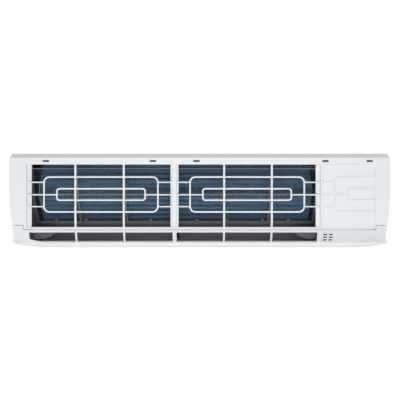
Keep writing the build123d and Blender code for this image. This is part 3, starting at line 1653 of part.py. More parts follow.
def wall_plate():
    """The steel plate on the wall: four screw holes, windows and two hooks that carry the unit."""
    plate = block(plate_left, plate_right, 0, plate_thick, plate_low, plate_high)
    for x in (-screw_spread / 2, screw_spread / 2):
        for up in (plate_height - screw_rise / 2, plate_height + screw_rise / 2):
            plate -= Pos(x, -plate_thick / 2, up) * Rot(90, 0, 0) * Cylinder(screw_hole_radius, 4)
    for x in window_places:
        plate -= block(x - 32, x + 32, -1, plate_thick + 1, plate_low + 40, plate_high - 40)
    for x in wall_hook_places:
        plate += block(x - hook_half, x + hook_half, 0, back_wall_front + 2.2, hook_seat - plate_thick, hook_seat)
        plate += block(x - hook_half, x + hook_half, 0, plate_thick, plate_high - 1, hook_seat)
        plate += block(
            x - hook_half, x + hook_half, back_wall_front + 1, back_wall_front + 2.2, hook_seat - plate_thick, hook_seat + 6
        )
    return plate


def casing_screws():
    """Three screws in counterbores of the casing's underside, driven into the chassis bosses."""
    head_low = fit_gap / 2
    length = screw_boss_top - 2 - head_low
    pieces = []
    for place in screw_places:
        seat = Pos(place, -screw_setback, head_low)
        shank = seat * Pos(0, 0, length / 2) * Cylinder(screw_radius, length)
        head = seat * Pos(0, 0, screw_head_tall / 2) * Cylinder(screw_head_radius, screw_head_tall)
        pieces.append(shank + head)
    return Compound(pieces)


fixed_parts = {
    "wall_plate": wall_plate,
    "rear_case": rear_case,
    "front_casing": front_casing,
    "drain_pan": drain_pan,
    "drain_plug": drain_plug,
    "drain_pipe": drain_pipe,
    "front_fins": lambda: fin_pack(front_pack()),
    "rear_fins": lambda: fin_pack(rear_pack()),
    "low_fins": lambda: fin_pack(low_pack()),
    "coil_tubes": coil_tubes,
    "coil_plate_left": lambda: end_plate(coil_left - end_plate_thick),
    "coil_plate_right": lambda: end_plate(coil_right),
    "gas_pipe": gas_pipe,
    "liquid_pipe": liquid_pipe,
    "gas_nut": lambda: flare_nut(gas_end, gas_height, gas_radius, gas_nut_flats, gas_thread_radius),
    "liquid_nut": lambda: flare_nut(
        liquid_end, liquid_height, liquid_radius, liquid_nut_flats, liquid_thread_radius
    ),
    "pipe_clamp": pipe_clamp,
    "fan_motor": fan_motor,
    "motor_rings": motor_rings,
    "motor_bracket": motor_bracket,
    "bracket_screws": bracket_screws,
    "bearing_rubber": bearing_rubber,
    "fan_bearing": fan_bearing,
    "electric_box": electric_box,
    "box_cover": box_cover,
    "cover_screws": cover_screws,
    "main_board": main_board,
    "board_parts": board_parts,
    "terminal_block": terminal_block,
    "button_switch": button_switch,
    "filter_guide": filter_guide,
    "louver_stepper": louver_stepper,
    "vane_stepper": vane_stepper,
    "casing_screws": casing_screws,
}
moving_parts = {
    "front_frame": front_frame,
    "front_panel": front_panel,
    "display_board": display_board,
    "display_window": lambda: display_window_solid(0),
    "filter_frame_left": lambda: filter_frame(0),
    "filter_frame_right": lambda: filter_frame(1),
    "filter_net_left": lambda: filter_net(0),
    "filter_net_right": lambda: filter_net(1),
    "fan_rotor": fan_rotor,
    "fan_stub_shaft": stub_shaft,
    "motor_shaft": motor_shaft,
    "hub_screw": hub_screw,
    "main_louver": main_louver,
    "link_bar": link_bar,
    "vane_crank": crank,
    "aux_button": aux_button,
}

for name, make in {**fixed_parts, **moving_parts}.items():
    written(name, make())
for number in range(vane_count):
    written(f"vane_{number + 1}", vane(number))
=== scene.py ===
import math

import bmesh
import bpy
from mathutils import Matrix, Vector


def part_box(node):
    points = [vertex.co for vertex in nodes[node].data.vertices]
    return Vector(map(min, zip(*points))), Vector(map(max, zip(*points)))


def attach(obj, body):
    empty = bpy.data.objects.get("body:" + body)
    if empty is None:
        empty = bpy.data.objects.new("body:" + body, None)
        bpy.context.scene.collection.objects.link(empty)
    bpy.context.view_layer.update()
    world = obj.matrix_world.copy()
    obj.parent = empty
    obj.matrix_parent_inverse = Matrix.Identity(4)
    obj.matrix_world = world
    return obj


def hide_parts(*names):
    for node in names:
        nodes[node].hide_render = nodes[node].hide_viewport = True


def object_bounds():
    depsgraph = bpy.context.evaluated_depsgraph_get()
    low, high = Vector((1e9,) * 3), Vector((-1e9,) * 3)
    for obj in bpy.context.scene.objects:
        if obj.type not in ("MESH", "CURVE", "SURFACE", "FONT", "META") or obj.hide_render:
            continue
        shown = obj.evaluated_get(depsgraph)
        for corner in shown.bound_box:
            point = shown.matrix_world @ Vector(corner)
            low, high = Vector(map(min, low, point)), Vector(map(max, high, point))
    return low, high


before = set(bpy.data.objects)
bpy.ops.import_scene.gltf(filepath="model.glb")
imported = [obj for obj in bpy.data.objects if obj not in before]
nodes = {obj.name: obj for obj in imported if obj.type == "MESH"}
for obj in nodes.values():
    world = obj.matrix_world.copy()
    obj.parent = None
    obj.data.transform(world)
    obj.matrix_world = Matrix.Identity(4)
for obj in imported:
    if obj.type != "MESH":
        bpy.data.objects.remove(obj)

cad_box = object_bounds()

# --- The room ------------------------------------------------------------------------------------
# The unit hangs in a plain pale room, over a matt floor well below its underside. The light is
# soft: a large lamp above, a weaker one at the front left and a faint one behind at the right.

camera_place = (0.0006, -0.1031, 2.139)
camera_range = 60.0
view_angle = 25.0
floor_drop = 0.62
floor_half = 14.0
floor_glow = 1.04
floor_seen = 0.94
sky_strength = 0.37
lamp_target = (0.0, -0.1, 0.0)


class Value:
    """What a node gives. Plain arithmetic on it adds Math nodes."""

    def __init__(self, owner, socket):
        self.owner = owner
        self.socket = socket

    def maths(self, operation, *values):
        return self.owner.node("Math", {"operation": operation}, dict(enumerate(values)))

    def __add__(self, other):
        return self.maths("ADD", self, other)

    def __sub__(self, other):
        return self.maths("SUBTRACT", self, other)

    def __mul__(self, other):
        return self.maths("MULTIPLY", self, other)

    def __truediv__(self, other):
        return self.maths("DIVIDE", self, other)


class Tree:
    """A node tree under construction."""

    families = ("ShaderNode",)

    def node(self, kind, settings=None, inputs=None, out=0):
        """Adds a node: its settings first, then the values and links of its sockets."""
        family = next(family for family in self.families if hasattr(bpy.types, family + kind))
        made = self.tree.nodes.new(family + kind)
        for key, value in (settings or {}).items():
            if key == "stops":
                ramp = made.color_ramp
                while len(ramp.elements) < len(value):
                    ramp.elements.new(0.5)
                for element, (place, colour) in zip(ramp.elements, value):
                    element.position = place
                    element.color = (*colour, 1.0)
            else:
                setattr(made, key, value)
        for key, value in (inputs or {}).items():
            socket = made.inputs[key]
            for part in value if isinstance(value, list) else [value]:
                if isinstance(part, Value):
                    self.tree.links.new(part.socket, socket)
                elif socket.type == "RGBA" and len(part) == 3:
                    socket.default_value = (*part, 1.0)
                else:
                    socket.default_value = part
        return Value(self, made.outputs[out]) if made.outputs else None


class Finish(Tree):
    """A material under construction."""

    def __init__(self, name):
        self.material = bpy.data.materials.new(name)
        self.material.use_nodes = True
        self.tree = self.material.node_tree
        self.tree.nodes.clear()

    def place(self, scale=(1.0, 1.0, 1.0), turn=(0.0, 0.0, 0.0)):
        """The piece's own coordinates, in metres, stretched or turned."""
        spot = self.node("TexCoord", out="Object")
        return self.node("Mapping", None, {"Vector": spot, "Scale": scale, "Rotation": turn})

    def noise(self, vector, scale, detail=4.0, roughness=0.5):
        inputs = {"Vector": vector, "Scale": scale, "Detail": detail, "Roughness": roughness}
        return self.node("TexNoise", None, inputs)

    def between(self, share, low, high):
        """low where share is 0, high where it is 1."""
        span = {"From Min": 0.0, "From Max": 1.0, "To Min": low, "To Max": high}
        return self.node("MapRange", None, {"Value": share, **span})

    def mixed(self, share, first, second):
        return self.node("Mix", {"data_type": "RGBA"}, {0: share, 6: first, 7: second}, out=2)

    def bump(self, height, strength, distance, **more):
        inputs = {"Height": height, "Strength": strength, "Distance": distance, **more}
        return self.node("Bump", None, inputs)

    def rounded(self, radius):
        """The surface's direction, with its edges rounded off."""
        return self.node("Bevel", {"samples": 4}, {"Radius": radius})

    def surface(self, **sockets):
        """The shader itself. Base_Color stands for the socket Base Color, and so on."""
        named = {key.replace("_", " "): value for key, value in sockets.items()}
        shader = self.node("BsdfPrincipled", None, named)
        self.node("OutputMaterial", None, {"Surface": shader})
        return self.material


floor = Finish("pale_floor")
grain = floor.noise(floor.place(), 3.0)
pale = floor.mixed(grain, (0.86, 0.86, 0.86), (0.90, 0.90, 0.90))
matt = floor.node("BsdfDiffuse", None, {"Color": pale})
glow = floor.node("Emission", None, {"Color": (1.0, 1.0, 1.0), "Strength": floor_glow})
camera_ray, glossy_ray, passing_ray = (
    floor.node("LightPath", out=f"Is {name} Ray") for name in ("Camera", "Glossy", "Transmission")
)
seen = (camera_ray + glossy_ray + passing_ray) * floor_seen
shade = floor.node("MixShader", None, {0: seen, 1: matt, 2: glow})
floor.node("OutputMaterial", None, {"Surface": shade})
floor_level = cad_box[0][2] - floor_drop
floor_corners = [
    (x * floor_half, y * floor_half, floor_level) for x, y in ((-1, -1), (1, -1), (1, 1), (-1, 1))
]
floor_mesh = bpy.data.meshes.new("floor")
floor_mesh.from_pydata(floor_corners, [], [(0, 1, 2, 3)])
floor_mesh.materials.append(floor.material)
ground = bpy.data.objects.new("floor", floor_mesh)
bpy.context.scene.collection.objects.link(ground)

world = bpy.data.worlds.new("soft_daylight")
world.use_nodes = True
bpy.context.scene.world = world
sky = Tree()
sky.tree = world.node_tree
sky.tree.nodes.clear()
soft = sky.node("Background", None, {"Color": (0.93, 0.96, 1.0), "Strength": sky_strength})
white = sky.node("Background", None, {"Color": (1.0, 1.0, 1.0)})
direct = sky.node("LightPath", out="Is Camera Ray")
backdrop = sky.node("MixShader", None, {0: direct, 1: soft, 2: white})
sky.node("OutputWorld", None, {"Surface": backdrop})

for name, place, size, power in (
    ("lamp_above", (0.0, -0.45, 2.9), 1.9, 47.5),
    ("lamp_front", (-1.6, -2.6, 0.9), 1.6, 15.0),
    ("lamp_rear", (1.9, 2.2, 1.4), 1.6, 4.5),
):
    light = bpy.data.lights.new(name, "AREA")
    light.shape = "SQUARE"
    light.size = size
    light.energy = power
    lamp = bpy.data.objects.new(name, light)
    lamp.location = place
    way = Vector(lamp_target) - Vector(place)
    lamp.rotation_euler = way.to_track_quat("-Z", "Y").to_euler()
    bpy.context.scene.collection.objects.link(lamp)

view = bpy.data.cameras.new("view_from_above")
view.angle = math.radians(view_angle)
view.clip_end = camera_range
camera = bpy.data.objects.new("view_from_above", view)
camera.location = camera_place
bpy.context.scene.collection.objects.link(camera)
bpy.context.scene.camera = camera
bpy.context.scene.view_settings.view_transform = "Standard"

# --- Wall plate ----------------------------------------------------------------------------------
# The plate that is screwed to the wall and carries the unit on two hooks. It is pressed from
# galvanised sheet steel, whose zinc shows as patches of slightly different greys.


def dressed(material, *names):
    """Gives CAD nodes their finish in place of the plain one."""
    for name in names:
        piece = nodes[name]
        piece.data.materials.clear()
        piece.data.materials.append(material)


def galvanised(name, light, dark, spangle):
    """Sheet steel with a zinc coat: crystals of two greys, faint rolling marks and dull spots."""
    made = Finish(name)
    spot = made.place()
    wobble = made.noise(spot, spangle * 0.8, 3.0)
    drift = (0.004, 0.004, 0.004)
    nudged = made.node("VectorMath", {"operation": "MULTIPLY_ADD"}, {0: wobble, 1: drift, 2: spot})
    cells = {"Vector": nudged, "Scale": spangle}
    crystal = made.node("TexVoronoi", {"feature": "F1"}, cells, out="Color")
    grey = made.node("RGBToBW", None, {"Color": crystal})
    rolled = made.noise(made.place(scale=(1.0, 1.0, 60.0)), 14.0, 3.0)
    dull = made.noise(spot, 26.0, 5.0, 0.7)
    return made.surface(
        Base_Color=made.mixed(grey * 0.7 + rolled * 0.3, dark, light),
        Metallic=0.85,
        Roughness=made.between(dull * 0.6 + grey * 0.4, 0.34, 0.58),
        Normal=made.bump(rolled + grey * 0.4, 0.12, 0.0004),
    )


zinc = galvanised("zinc_coat", (0.62, 0.63, 0.64), (0.44, 0.455, 0.47), 95.0)
dressed(zinc, "wall_plate")

# --- Chassis and pipe clamp ----------------------------------------------------------------------
# One large grey moulding: the back wall, the base, the fan's housing and the seats of all that it
# carries. The clamp is a small moulding of the same plastic, pushed over the two pipes.


def moulded(name, colour, roughness, grain=1500.0, texture=0.12, rounding=0.0007, top_highlight=None):
    """Moulded plastic: faint flow marks, the tool's fine grain and slightly rounded edges.

    The last argument is a painted highlight: its colour and the two heights between which it sets
    in.
    """
    made = Finish(name)
    spot = made.place()
    flow = made.noise(made.place(scale=(1.0, 2.5, 3.5)), 7.0, 4.0, 0.55)
    pits = made.noise(spot, grain, 2.0, 0.6)
    low = tuple(0.965 * value for value in colour)
    high = tuple(min(1.0, 1.03 * value) for value in colour)
    tone = made.mixed(flow, low, high)
    # Painted highlight: the colour turns paler with height in the piece's own coordinates, standing
    # in for light on its upper part.
    if top_highlight:
        highlight_colour, highlight_low, highlight_high = top_highlight
        level = made.node("SeparateXYZ", None, {0: spot}, out="Z")
        rise = {"Value": level, "From Min": highlight_low, "From Max": highlight_high}
        tone = made.mixed(made.node("MapRange", None, rise), tone, highlight_colour)
    return made.surface(
        Base_Color=tone,
        Roughness=made.between(flow * 0.6 + pits * 0.4, roughness - 0.06, roughness + 0.07),
        Normal=made.bump(pits, texture, 0.0002, Normal=made.rounded(rounding)),
    )


grey_moulding = moulded("grey_moulding", (0.115, 0.118, 0.124), 0.52)
dressed(grey_moulding, "rear_case", "pipe_clamp")

# --- Refrigerant pipes and flare nuts ------------------------------------------------------------
# Two drawn copper pipes run from the coil down and along the trough at the back, and turn towards
# the wall, where each ends in a turned brass nut. The copper is bright, with a brown tarnish in
# places.


def drawn_copper(name, bright, worn, dark):
    """Drawn copper tube: bright metal that tarnish covers in patches, and faint drawing marks."""
    made = Finish(name)
    tarnish = made.noise(made.place(), 18.0, 6.0, 0.65)
    stops = [(0.35, bright), (0.58, worn), (0.75, dark)]
    drawing_marks = made.noise(made.place(scale=(2.0, 90.0, 90.0)), 20.0, 3.0)
    return made.surface(
        Base_Color=made.node("ValToRGB", {"stops": stops}, {"Fac": tarnish}),
        Metallic=made.between(tarnish, 1.0, 0.8),
        Roughness=made.between(tarnish, 0.22, 0.52),
        Normal=made.bump(drawing_marks, 0.06, 0.0003),
    )


dressed(
    drawn_copper("drawn_copper", (0.66, 0.35, 0.23), (0.50, 0.24, 0.15), (0.23, 0.12, 0.085)),
    "gas_pipe", "liquid_pipe",
)

turned_brass = Finish("turned_brass")
tool_marks = turned_brass.node(
    "TexWave", {"wave_type": "BANDS", "bands_direction": "Y"},
    {"Vector": turned_brass.place(), "Scale": 420.0, "Distortion": 0.6, "Detail": 2.0},
)
stain = turned_brass.noise(turned_brass.place(), 120.0, 5.0, 0.6)
brass = turned_brass.surface(
    Base_Color=turned_brass.mixed(stain, (0.80, 0.62, 0.30), (0.58, 0.42, 0.19)),
    Metallic=1.0,
    Roughness=turned_brass.between(stain, 0.2, 0.42),
    Normal=turned_brass.bump(tool_marks, 0.1, 0.0001),
)
dressed(brass, "gas_nut", "liquid_nut")

# --- Drain pan, its plug and its outlet pipe -----------------------------------------------------
# The pan is moulded from fused dark grey foam beads. A rubber plug closes the outlet at its left,
# and a moulded pipe takes the water from its right outlet back to the wall.

beads = Finish("foam_beads")
bead_spot = beads.place()
bead_wall = beads.node(
    "TexVoronoi", {"feature": "DISTANCE_TO_EDGE"}, {"Vector": bead_spot, "Scale": 300.0},
    out="Distance",
)
bead_tone = beads.noise(bead_spot, 90.0, 3.0)
bead_face = bead_wall.maths("MINIMUM", bead_wall * 5.0, 1.0)
foam_share = bead_face * 0.7 + bead_tone * 0.3
dressed(
    beads.surface(
        Base_Color=beads.mixed(foam_share, (0.045, 0.047, 0.050), (0.085, 0.087, 0.090)),
        Roughness=beads.between(bead_tone, 0.7, 0.85),
        Normal=beads.bump(bead_face, 0.35, 0.0004),
    ),
    "drain_pan",
)
white_moulding = moulded("white_moulding", (0.80, 0.80, 0.78), 0.45)
dressed(white_moulding, "drain_pipe")


def rubber_finish(name, colour):
    """Moulded rubber: matt, with a bloom that makes some of it paler."""
    made = Finish(name)
    spot = made.place()
    bloom = made.noise(spot, 70.0, 5.0, 0.65)
    skin = made.noise(spot, 900.0, 2.0)
    return made.surface(
        Base_Color=made.mixed(bloom, colour, tuple(2.2 * value for value in colour)),
        Roughness=made.between(bloom, 0.62, 0.85),
        Normal=made.bump(skin, 0.2, 0.0003),
    )


black_rubber = rubber_finish("black_rubber", (0.018, 0.018, 0.019))
dressed(black_rubber, "drain_plug")

# --- Fan, its shafts and its bearing -------------------------------------------------------------
# The long rotor is moulded in dark glass-filled plastic, in short lengths welded end to end. It
# turns on a steel stub in a brass bearing in rubber at its left and on the motor's shaft at its
# right.

dark_moulding = moulded("dark_moulding", (0.030, 0.031, 0.034), 0.42, 1100.0, 0.2)
dressed(dark_moulding, "fan_rotor")

ground_steel = Finish("ground_steel")
grinding = ground_steel.noise(ground_steel.place(scale=(160.0, 1.0, 1.0)), 12.0, 4.0)
film = ground_steel.noise(ground_steel.place(), 60.0, 4.0)
bright_steel = ground_steel.surface(
    Base_Color=ground_steel.mixed(film, (0.60, 0.60, 0.61), (0.48, 0.48, 0.50)),
    Metallic=1.0,
    Roughness=ground_steel.between(film * 0.6 + grinding * 0.4, 0.2, 0.42),
    Normal=ground_steel.bump(grinding, 0.08, 0.0001),
)
dressed(bright_steel, "fan_stub_shaft", "motor_shaft")
dressed(brass, "fan_bearing")
dressed(black_rubber, "bearing_rubber")

# --- Motor and its bracket -----------------------------------------------------------------------
# The motor is sealed in pale moulding compound and sits on rubber rings in the chassis cradles.
# The white bracket over it is screwed down through its cheeks.

dressed(moulded("moulding_compound", (0.62, 0.61, 0.57), 0.6, 700.0, 0.3), "fan_motor")
dressed(black_rubber, "motor_rings")
dressed(white_moulding, "motor_bracket")

# --- Screws --------------------------------------------------------------------------------------
# Self-tapping screws of zinc-plated steel with a domed head and a cross recess. They hold the
# motor's bracket, the fan's hub, the electric box's cover and, from below, the casing.


class Pattern(Tree):
    """A Geometry Nodes tree under construction, with named sizes."""

    families = ("GeometryNode", "ShaderNode", "FunctionNode")

    def __init__(self, name, **sizes):
        self.tree = bpy.data.node_groups.new(name, "GeometryNodeTree")
        sockets = self.tree.interface
        sockets.new_socket("Geometry", in_out="OUTPUT", socket_type="NodeSocketGeometry")
        sockets.new_socket("places", in_out="INPUT", socket_type="NodeSocketGeometry")
        for key, value in sizes.items():
            kind = "NodeSocket" + {tuple: "Vector", int: "Int", float: "Float"}[type(value)]
            sockets.new_socket(key, in_out="INPUT", socket_type=kind).default_value = value
        self.entry = self.tree.nodes.new("NodeGroupInput")

    def size(self, name):
        return Value(self, self.entry.outputs[name])

    def vector(self, x=0.0, y=0.0, z=0.0):
        return self.node("CombineXYZ", None, {0: x, 1: y, 2: z})

    def moved(self, shape, shift=(0.0, 0.0, 0.0), turn=(0.0, 0.0, 0.0), scale=(1.0, 1.0, 1.0)):
        inputs = {"Geometry": shape, "Translation": shift, "Rotation": turn, "Scale": scale}
        return self.node("Transform", None, inputs)

    def joined(self, *shapes):
        return self.node("JoinGeometry", None, {"Geometry": list(shapes)})

    def row(self, count, start, pitch):
        """Points at even steps along x."""
        steps = {"Start Location": self.vector(start), "Offset": self.vector(pitch)}
        return self.node("MeshLine", {"mode": "OFFSET"}, {"Count": count, **steps})

    def swept(self, curve, radius, corners):
        """A round wire along a curve, with this many corners to its section."""
        ring = {"Resolution": corners, "Radius": radius}
        section = self.node("CurvePrimitiveCircle", {"mode": "RADIUS"}, ring)
        wire = {"Curve": curve, "Profile Curve": section, "Fill Caps": True}
        return self.node("CurveToMesh", None, wire)

    def repeated(self, points, shape, turn=(0.0, 0.0, 0.0)):
        inputs = {"Points": points, "Instance": shape, "Rotation": turn}
        return self.node("InstanceOnPoints", None, inputs)

    def finished(self, shape, material):
        real = self.node("RealizeInstances", None, {"Geometry": shape})
        coated = self.node("SetMaterial", None, {"Geometry": real, "Material": material})
        way_out = self.tree.nodes.new("NodeGroupOutput")
        self.tree.links.new(coated.socket, way_out.inputs["Geometry"])


def placed(piece, body, replaced):
    """Links a finished piece to its body and the CAD node that it stands for."""
    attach(piece, body)
    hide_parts(replaced)


def formed(name, tree, sizes, places=()):
    """Runs a pattern with its sizes and keeps the result as a plain mesh."""
    seeds = bpy.data.meshes.new(name)
    seeds.from_pydata([tuple(place) for place in places], [], [])
    piece = bpy.data.objects.new(name, seeds)
    bpy.context.scene.collection.objects.link(piece)
    step = piece.modifiers.new(name, "NODES")
    step.node_group = tree
    for item in tree.interface.items_tree:
        if item.name in sizes:
            step[item.identifier] = sizes[item.name]
    bpy.context.view_layer.update()
    ready = piece.evaluated_get(bpy.context.evaluated_depsgraph_get())
    mesh = bpy.data.meshes.new_from_object(ready)
    piece.modifiers.remove(step)
    piece.data = mesh
    return piece


def solid_boxes(name):
    """Lowest and highest corners of each separate solid in a CAD node."""
    shape = bmesh.new()
    shape.from_mesh(nodes[name].data)
    bmesh.ops.remove_doubles(shape, verts=shape.verts, dist=1e-6)
    left = set(shape.verts)
    boxes = []
    while left:
        group = {left.pop()}
        edge = set(group)
        while edge:
            ends = {other for vert in edge for link in vert.link_edges for other in link.verts}
            edge = ends & left
            left -= edge
            group |= edge
        boxes.append([
            Vector([pick(vert.co[axis] for vert in group) for axis in range(3)])
            for pick in (min, max)
        ])
    shape.free()
    return sorted(boxes, key=lambda box: tuple(box[0]))


plated = Finish("plated_steel")
plate_film = plated.noise(plated.place(), 240.0, 4.0)
plate_grain = plated.noise(plated.place(), 1800.0, 2.0)
plated_steel = plated.surface(
    Base_Color=plated.mixed(plate_film, (0.66, 0.66, 0.67), (0.50, 0.51, 0.54)),
    Metallic=1.0,
    Roughness=plated.between(plate_film, 0.24, 0.44),
    Normal=plated.bump(plate_grain, 0.1, 0.0001),
)

slot_length = 1.1
slot_width = 0.2
slot_rise = 0.95
core_share = 0.78
ridge_share = 0.8
ridge_size = 0.2
thread_turns = 8.0
thread_share = 0.9
thread_foot = -0.98
head_overlap = 0.0002

cross_screw = Pattern(
    "cross_screw", head_radius=0.0035, head_height=0.0016, shank_radius=0.0019, length=0.012,
    turn=(0.0, 0.0, 0.0),
)
head_radius = cross_screw.size("head_radius")
head_height = cross_screw.size("head_height")
shank_radius = cross_screw.size("shank_radius")
shank_length = cross_screw.size("length")
ball = cross_screw.node("MeshUVSphere", None, {"Segments": 32, "Rings": 16, "Radius": 1.0})
stretch = cross_screw.vector(head_radius, head_radius, head_height)
dome = cross_screw.moved(ball, scale=stretch)
spot = cross_screw.node("InputPosition")
along_x, along_y, along_z = (
    cross_screw.node("SeparateXYZ", None, {0: spot}, out=axis) for axis in range(3)
)
flattened = cross_screw.vector(along_x, along_y, along_z.maths("MAXIMUM", along_z, 0.0))
flat = cross_screw.node("SetPosition", None, {"Geometry": dome, "Position": flattened})
slot_size = cross_screw.vector(head_radius * slot_length, head_radius * slot_width, head_height)
slot_box = cross_screw.node("MeshCube", None, {"Size": slot_size})
raised = cross_screw.vector(0.0, 0.0, head_height * slot_rise)
slots = [cross_screw.moved(slot_box, raised, (0.0, 0.0, angle)) for angle in (0.0, math.pi / 2)]
head = cross_screw.node(
    "MeshBoolean", {"operation": "DIFFERENCE", "solver": "EXACT"}, {"Mesh 1": flat, "Mesh 2": slots}
)
shank_inputs = {"Vertices": 24, "Radius": shank_radius * core_share, "Depth": shank_length}
shank = cross_screw.node("MeshCylinder", None, shank_inputs)
shank_middle = shank_length * -0.5 + head_overlap
sunk = cross_screw.moved(shank, cross_screw.vector(0.0, 0.0, shank_middle))
ridge_radius = shank_radius * ridge_share
spiral = cross_screw.node("CurveSpiral", None, {
    "Resolution": 16, "Rotations": thread_turns, "Start Radius": ridge_radius,
    "End Radius": ridge_radius, "Height": shank_length * thread_share,
})
thread = cross_screw.swept(spiral, shank_radius * ridge_size, 3)
wound = cross_screw.moved(thread, cross_screw.vector(0.0, 0.0, shank_length * thread_foot))
whole = cross_screw.joined(head, sunk, wound)
cross_screw.finished(
    cross_screw.repeated(cross_screw.size("places"), whole, cross_screw.size("turn")), plated_steel
)

downward = (math.pi, 0.0, 0.0)
forward = (math.pi / 2, 0.0, 0.0)
upward = (0.0, 0.0, 0.0)
for name, body, radius, height, shank, length, turn, axis, end, inset in (
    ("casing_screws", "unit", 0.0034, 0.0015, 0.0019, 0.010, downward, 2, 0.0, 0.0016),
    ("cover_screws", "unit", 0.0029, 0.0019, 0.0015, 0.012, forward, 1, 0.0, 0.002),
    ("bracket_screws", "unit", 0.0033, 0.0019, 0.002, 0.034, upward, 2, 1.0, -0.002),
    ("hub_screw", "fan", 0.0019, 0.0012, 0.0019, 0.007, upward, 2, 1.0, -0.0012),
):
    seats = []
    for low, high in solid_boxes(name):
        seat = (low + high) / 2
        seat[axis] = low[axis] + end * (high[axis] - low[axis])
        seat[axis] += inset
        seats.append(seat)
    sizes = {
        "head_radius": radius, "head_height": height, "shank_radius": shank, "length": length,
        "turn": turn,
    }
    piece = formed(name + "_heads", cross_screw.tree, sizes, seats)
    placed(piece, body, name)

# --- Coil ----------------------------------------------------------------------------------------
# Three packs of thin aluminium fins stand on copper tubes that are expanded into them. The fins
# are coated blue, and the collar pressed round each hole makes a blue sleeve over the tube. The
# copper is coloured nearly black as painted shade, for the shadow that its ends lie in.

fin_depth = 0.0254
fin_pitch = 0.0014
fin_thickness = 0.0003
ripple = 0.00022
end_gap = 0.0002
row_pitch = 0.0127
tube_pitch = 0.019
collar_radius = 0.00385

fin_coat = Finish("blue_fin_coat")
coat_cloud = fin_coat.noise(fin_coat.place(scale=(0.3, 1.0, 1.0)), 16.0, 4.0)
coat_streak = fin_coat.noise(fin_coat.place(scale=(400.0, 1.0, 1.0)), 3.0, 3.0)
coat_share = coat_cloud * 0.6 + coat_streak * 0.4
coat_grain = fin_coat.noise(fin_coat.place(), 700.0, 2.0)
blue_coat = fin_coat.surface(
    Base_Color=fin_coat.mixed(coat_share, (0.40, 0.66, 0.92), (0.49, 0.75, 0.97)),
    Roughness=fin_coat.between(coat_streak, 0.34, 0.52),
    Normal=fin_coat.bump(coat_grain, 0.08, 0.0002),
)

fin_row = Pattern(
    "fin_row", count=440, start=0.0, pitch=fin_pitch, tubes=7, side=1.0, lean=0.0,
    thickness=fin_thickness, corner=(0.0, 0.0, 0.0), span=0.6,
)
tubes = fin_row.size("tubes")
tall = tubes * tube_pitch
sheet = fin_row.node("MeshGrid", None, {
    "Size X": fin_depth, "Size Y": tall, "Vertices X": 5, "Vertices Y": tubes * 2 + 1,
})
spot = fin_row.node("InputPosition")
across = fin_row.node("SeparateXYZ", None, {0: spot})
wave = fin_row.vector(0.0, 0.0, across.maths("COSINE", across * (4 * math.pi / fin_depth)) * ripple)
rippled = fin_row.node("SetPosition", None, {"Geometry": sheet, "Offset": wave})
top_skin = fin_row.node("ExtrudeMesh", {"mode": "FACES"}, {
    "Mesh": rippled, "Offset Scale": fin_row.size("thickness"), "Individual": False,
})
back_skin = fin_row.node("FlipFaces", None, {"Mesh": rippled})
skins = fin_row.joined(top_skin, back_skin)
plate = fin_row.node("MergeByDistance", None, {"Geometry": skins, "Distance": 1e-6})
stood = (math.pi / 2, 0.0, math.pi / 2)
half_out = fin_row.size("side") * (fin_depth / 2)
upright = fin_row.moved(plate, fin_row.vector(0.0, half_out, tall * 0.5), stood)
tilt = fin_row.vector(fin_row.size("lean"), 0.0, 0.0)
fin = fin_row.moved(upright, fin_row.size("corner"), tilt)
line = fin_row.row(fin_row.size("count"), fin_row.size("start"), fin_row.size("pitch"))
centres = fin_row.node("MeshGrid", None, {
    "Size X": row_pitch, "Size Y": tall - tube_pitch, "Vertices X": 2, "Vertices Y": tubes,
})
stood_centres = fin_row.moved(centres, fin_row.vector(0.0, half_out, tall * 0.5), stood)
leaning = fin_row.moved(stood_centres, fin_row.size("corner"), tilt)
span = fin_row.size("span")
sleeve_inputs = {"Vertices": 20, "Radius": collar_radius, "Depth": span}
sleeve = fin_row.node("MeshCylinder", None, sleeve_inputs)
sleeve_middle = fin_row.vector(fin_row.size("start") + span * 0.5)
lying = fin_row.moved(sleeve, sleeve_middle, (0.0, math.pi / 2, 0.0))
fin_row.finished(
    fin_row.joined(fin_row.repeated(line, fin), fin_row.repeated(leaning, lying)), blue_coat
)


def fins(name, tubes, side, slope):
    """A pack of fins in the place of its CAD solid; side is 1 where it grows towards the wall."""
    low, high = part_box(name)
    length = high[0] - low[0]
    reach = fin_depth * math.cos(slope)
    count = int(length / fin_pitch)
    corner = (0.0, (high[1] - reach) if side > 0 else (low[1] + reach), low[2])
    sizes = {
        "count": count, "start": low[0] + end_gap, "pitch": (length - 3 * end_gap) / (count - 1),
        "tubes": tubes, "side": float(side), "lean": side * slope, "corner": corner,
        "span": length - 2 * end_gap,
    }
    placed(formed(name + "_plates", fin_row.tree, sizes), "unit", name)


fins("front_fins", 7, -1, math.radians(35.0))
fins("rear_fins", 4, 1, math.radians(40.0))
fins("low_fins", 2, -1, 0.0)
# Painted shade: the coil's tubes are coloured nearly black, standing in for the shadow they lie in
# at the coil's ends.
dressed(
    drawn_copper("shaded_copper", (0.16, 0.09, 0.07), (0.10, 0.06, 0.05), (0.05, 0.035, 0.03)),
    "coil_tubes",
)
dressed(zinc, "coil_plate_left", "coil_plate_right")

# --- Louver motors, vanes and their link ---------------------------------------------------------
# Two small geared motors in zinc-plated cans turn the louver and the vanes. The ten vanes, the bar
# that links them and the crank are white mouldings.

dressed(zinc, "louver_stepper", "vane_stepper")
vane_plastic = moulded("vane_plastic", (0.74, 0.74, 0.73), 0.4)
dressed(vane_plastic, "link_bar", "vane_crank", *[f"vane_{place}" for place in range(1, 11)])

# --- Electric box --------------------------------------------------------------------------------
# A white flame-proof moulding with a sheet steel cover, the main circuit board and its parts, the
# wire terminals, and the small board behind the hand button.

dressed(moulded("flame_proof_plastic", (0.72, 0.71, 0.67), 0.5), "electric_box")
dressed(zinc, "box_cover")
dressed(white_moulding, "aux_button")

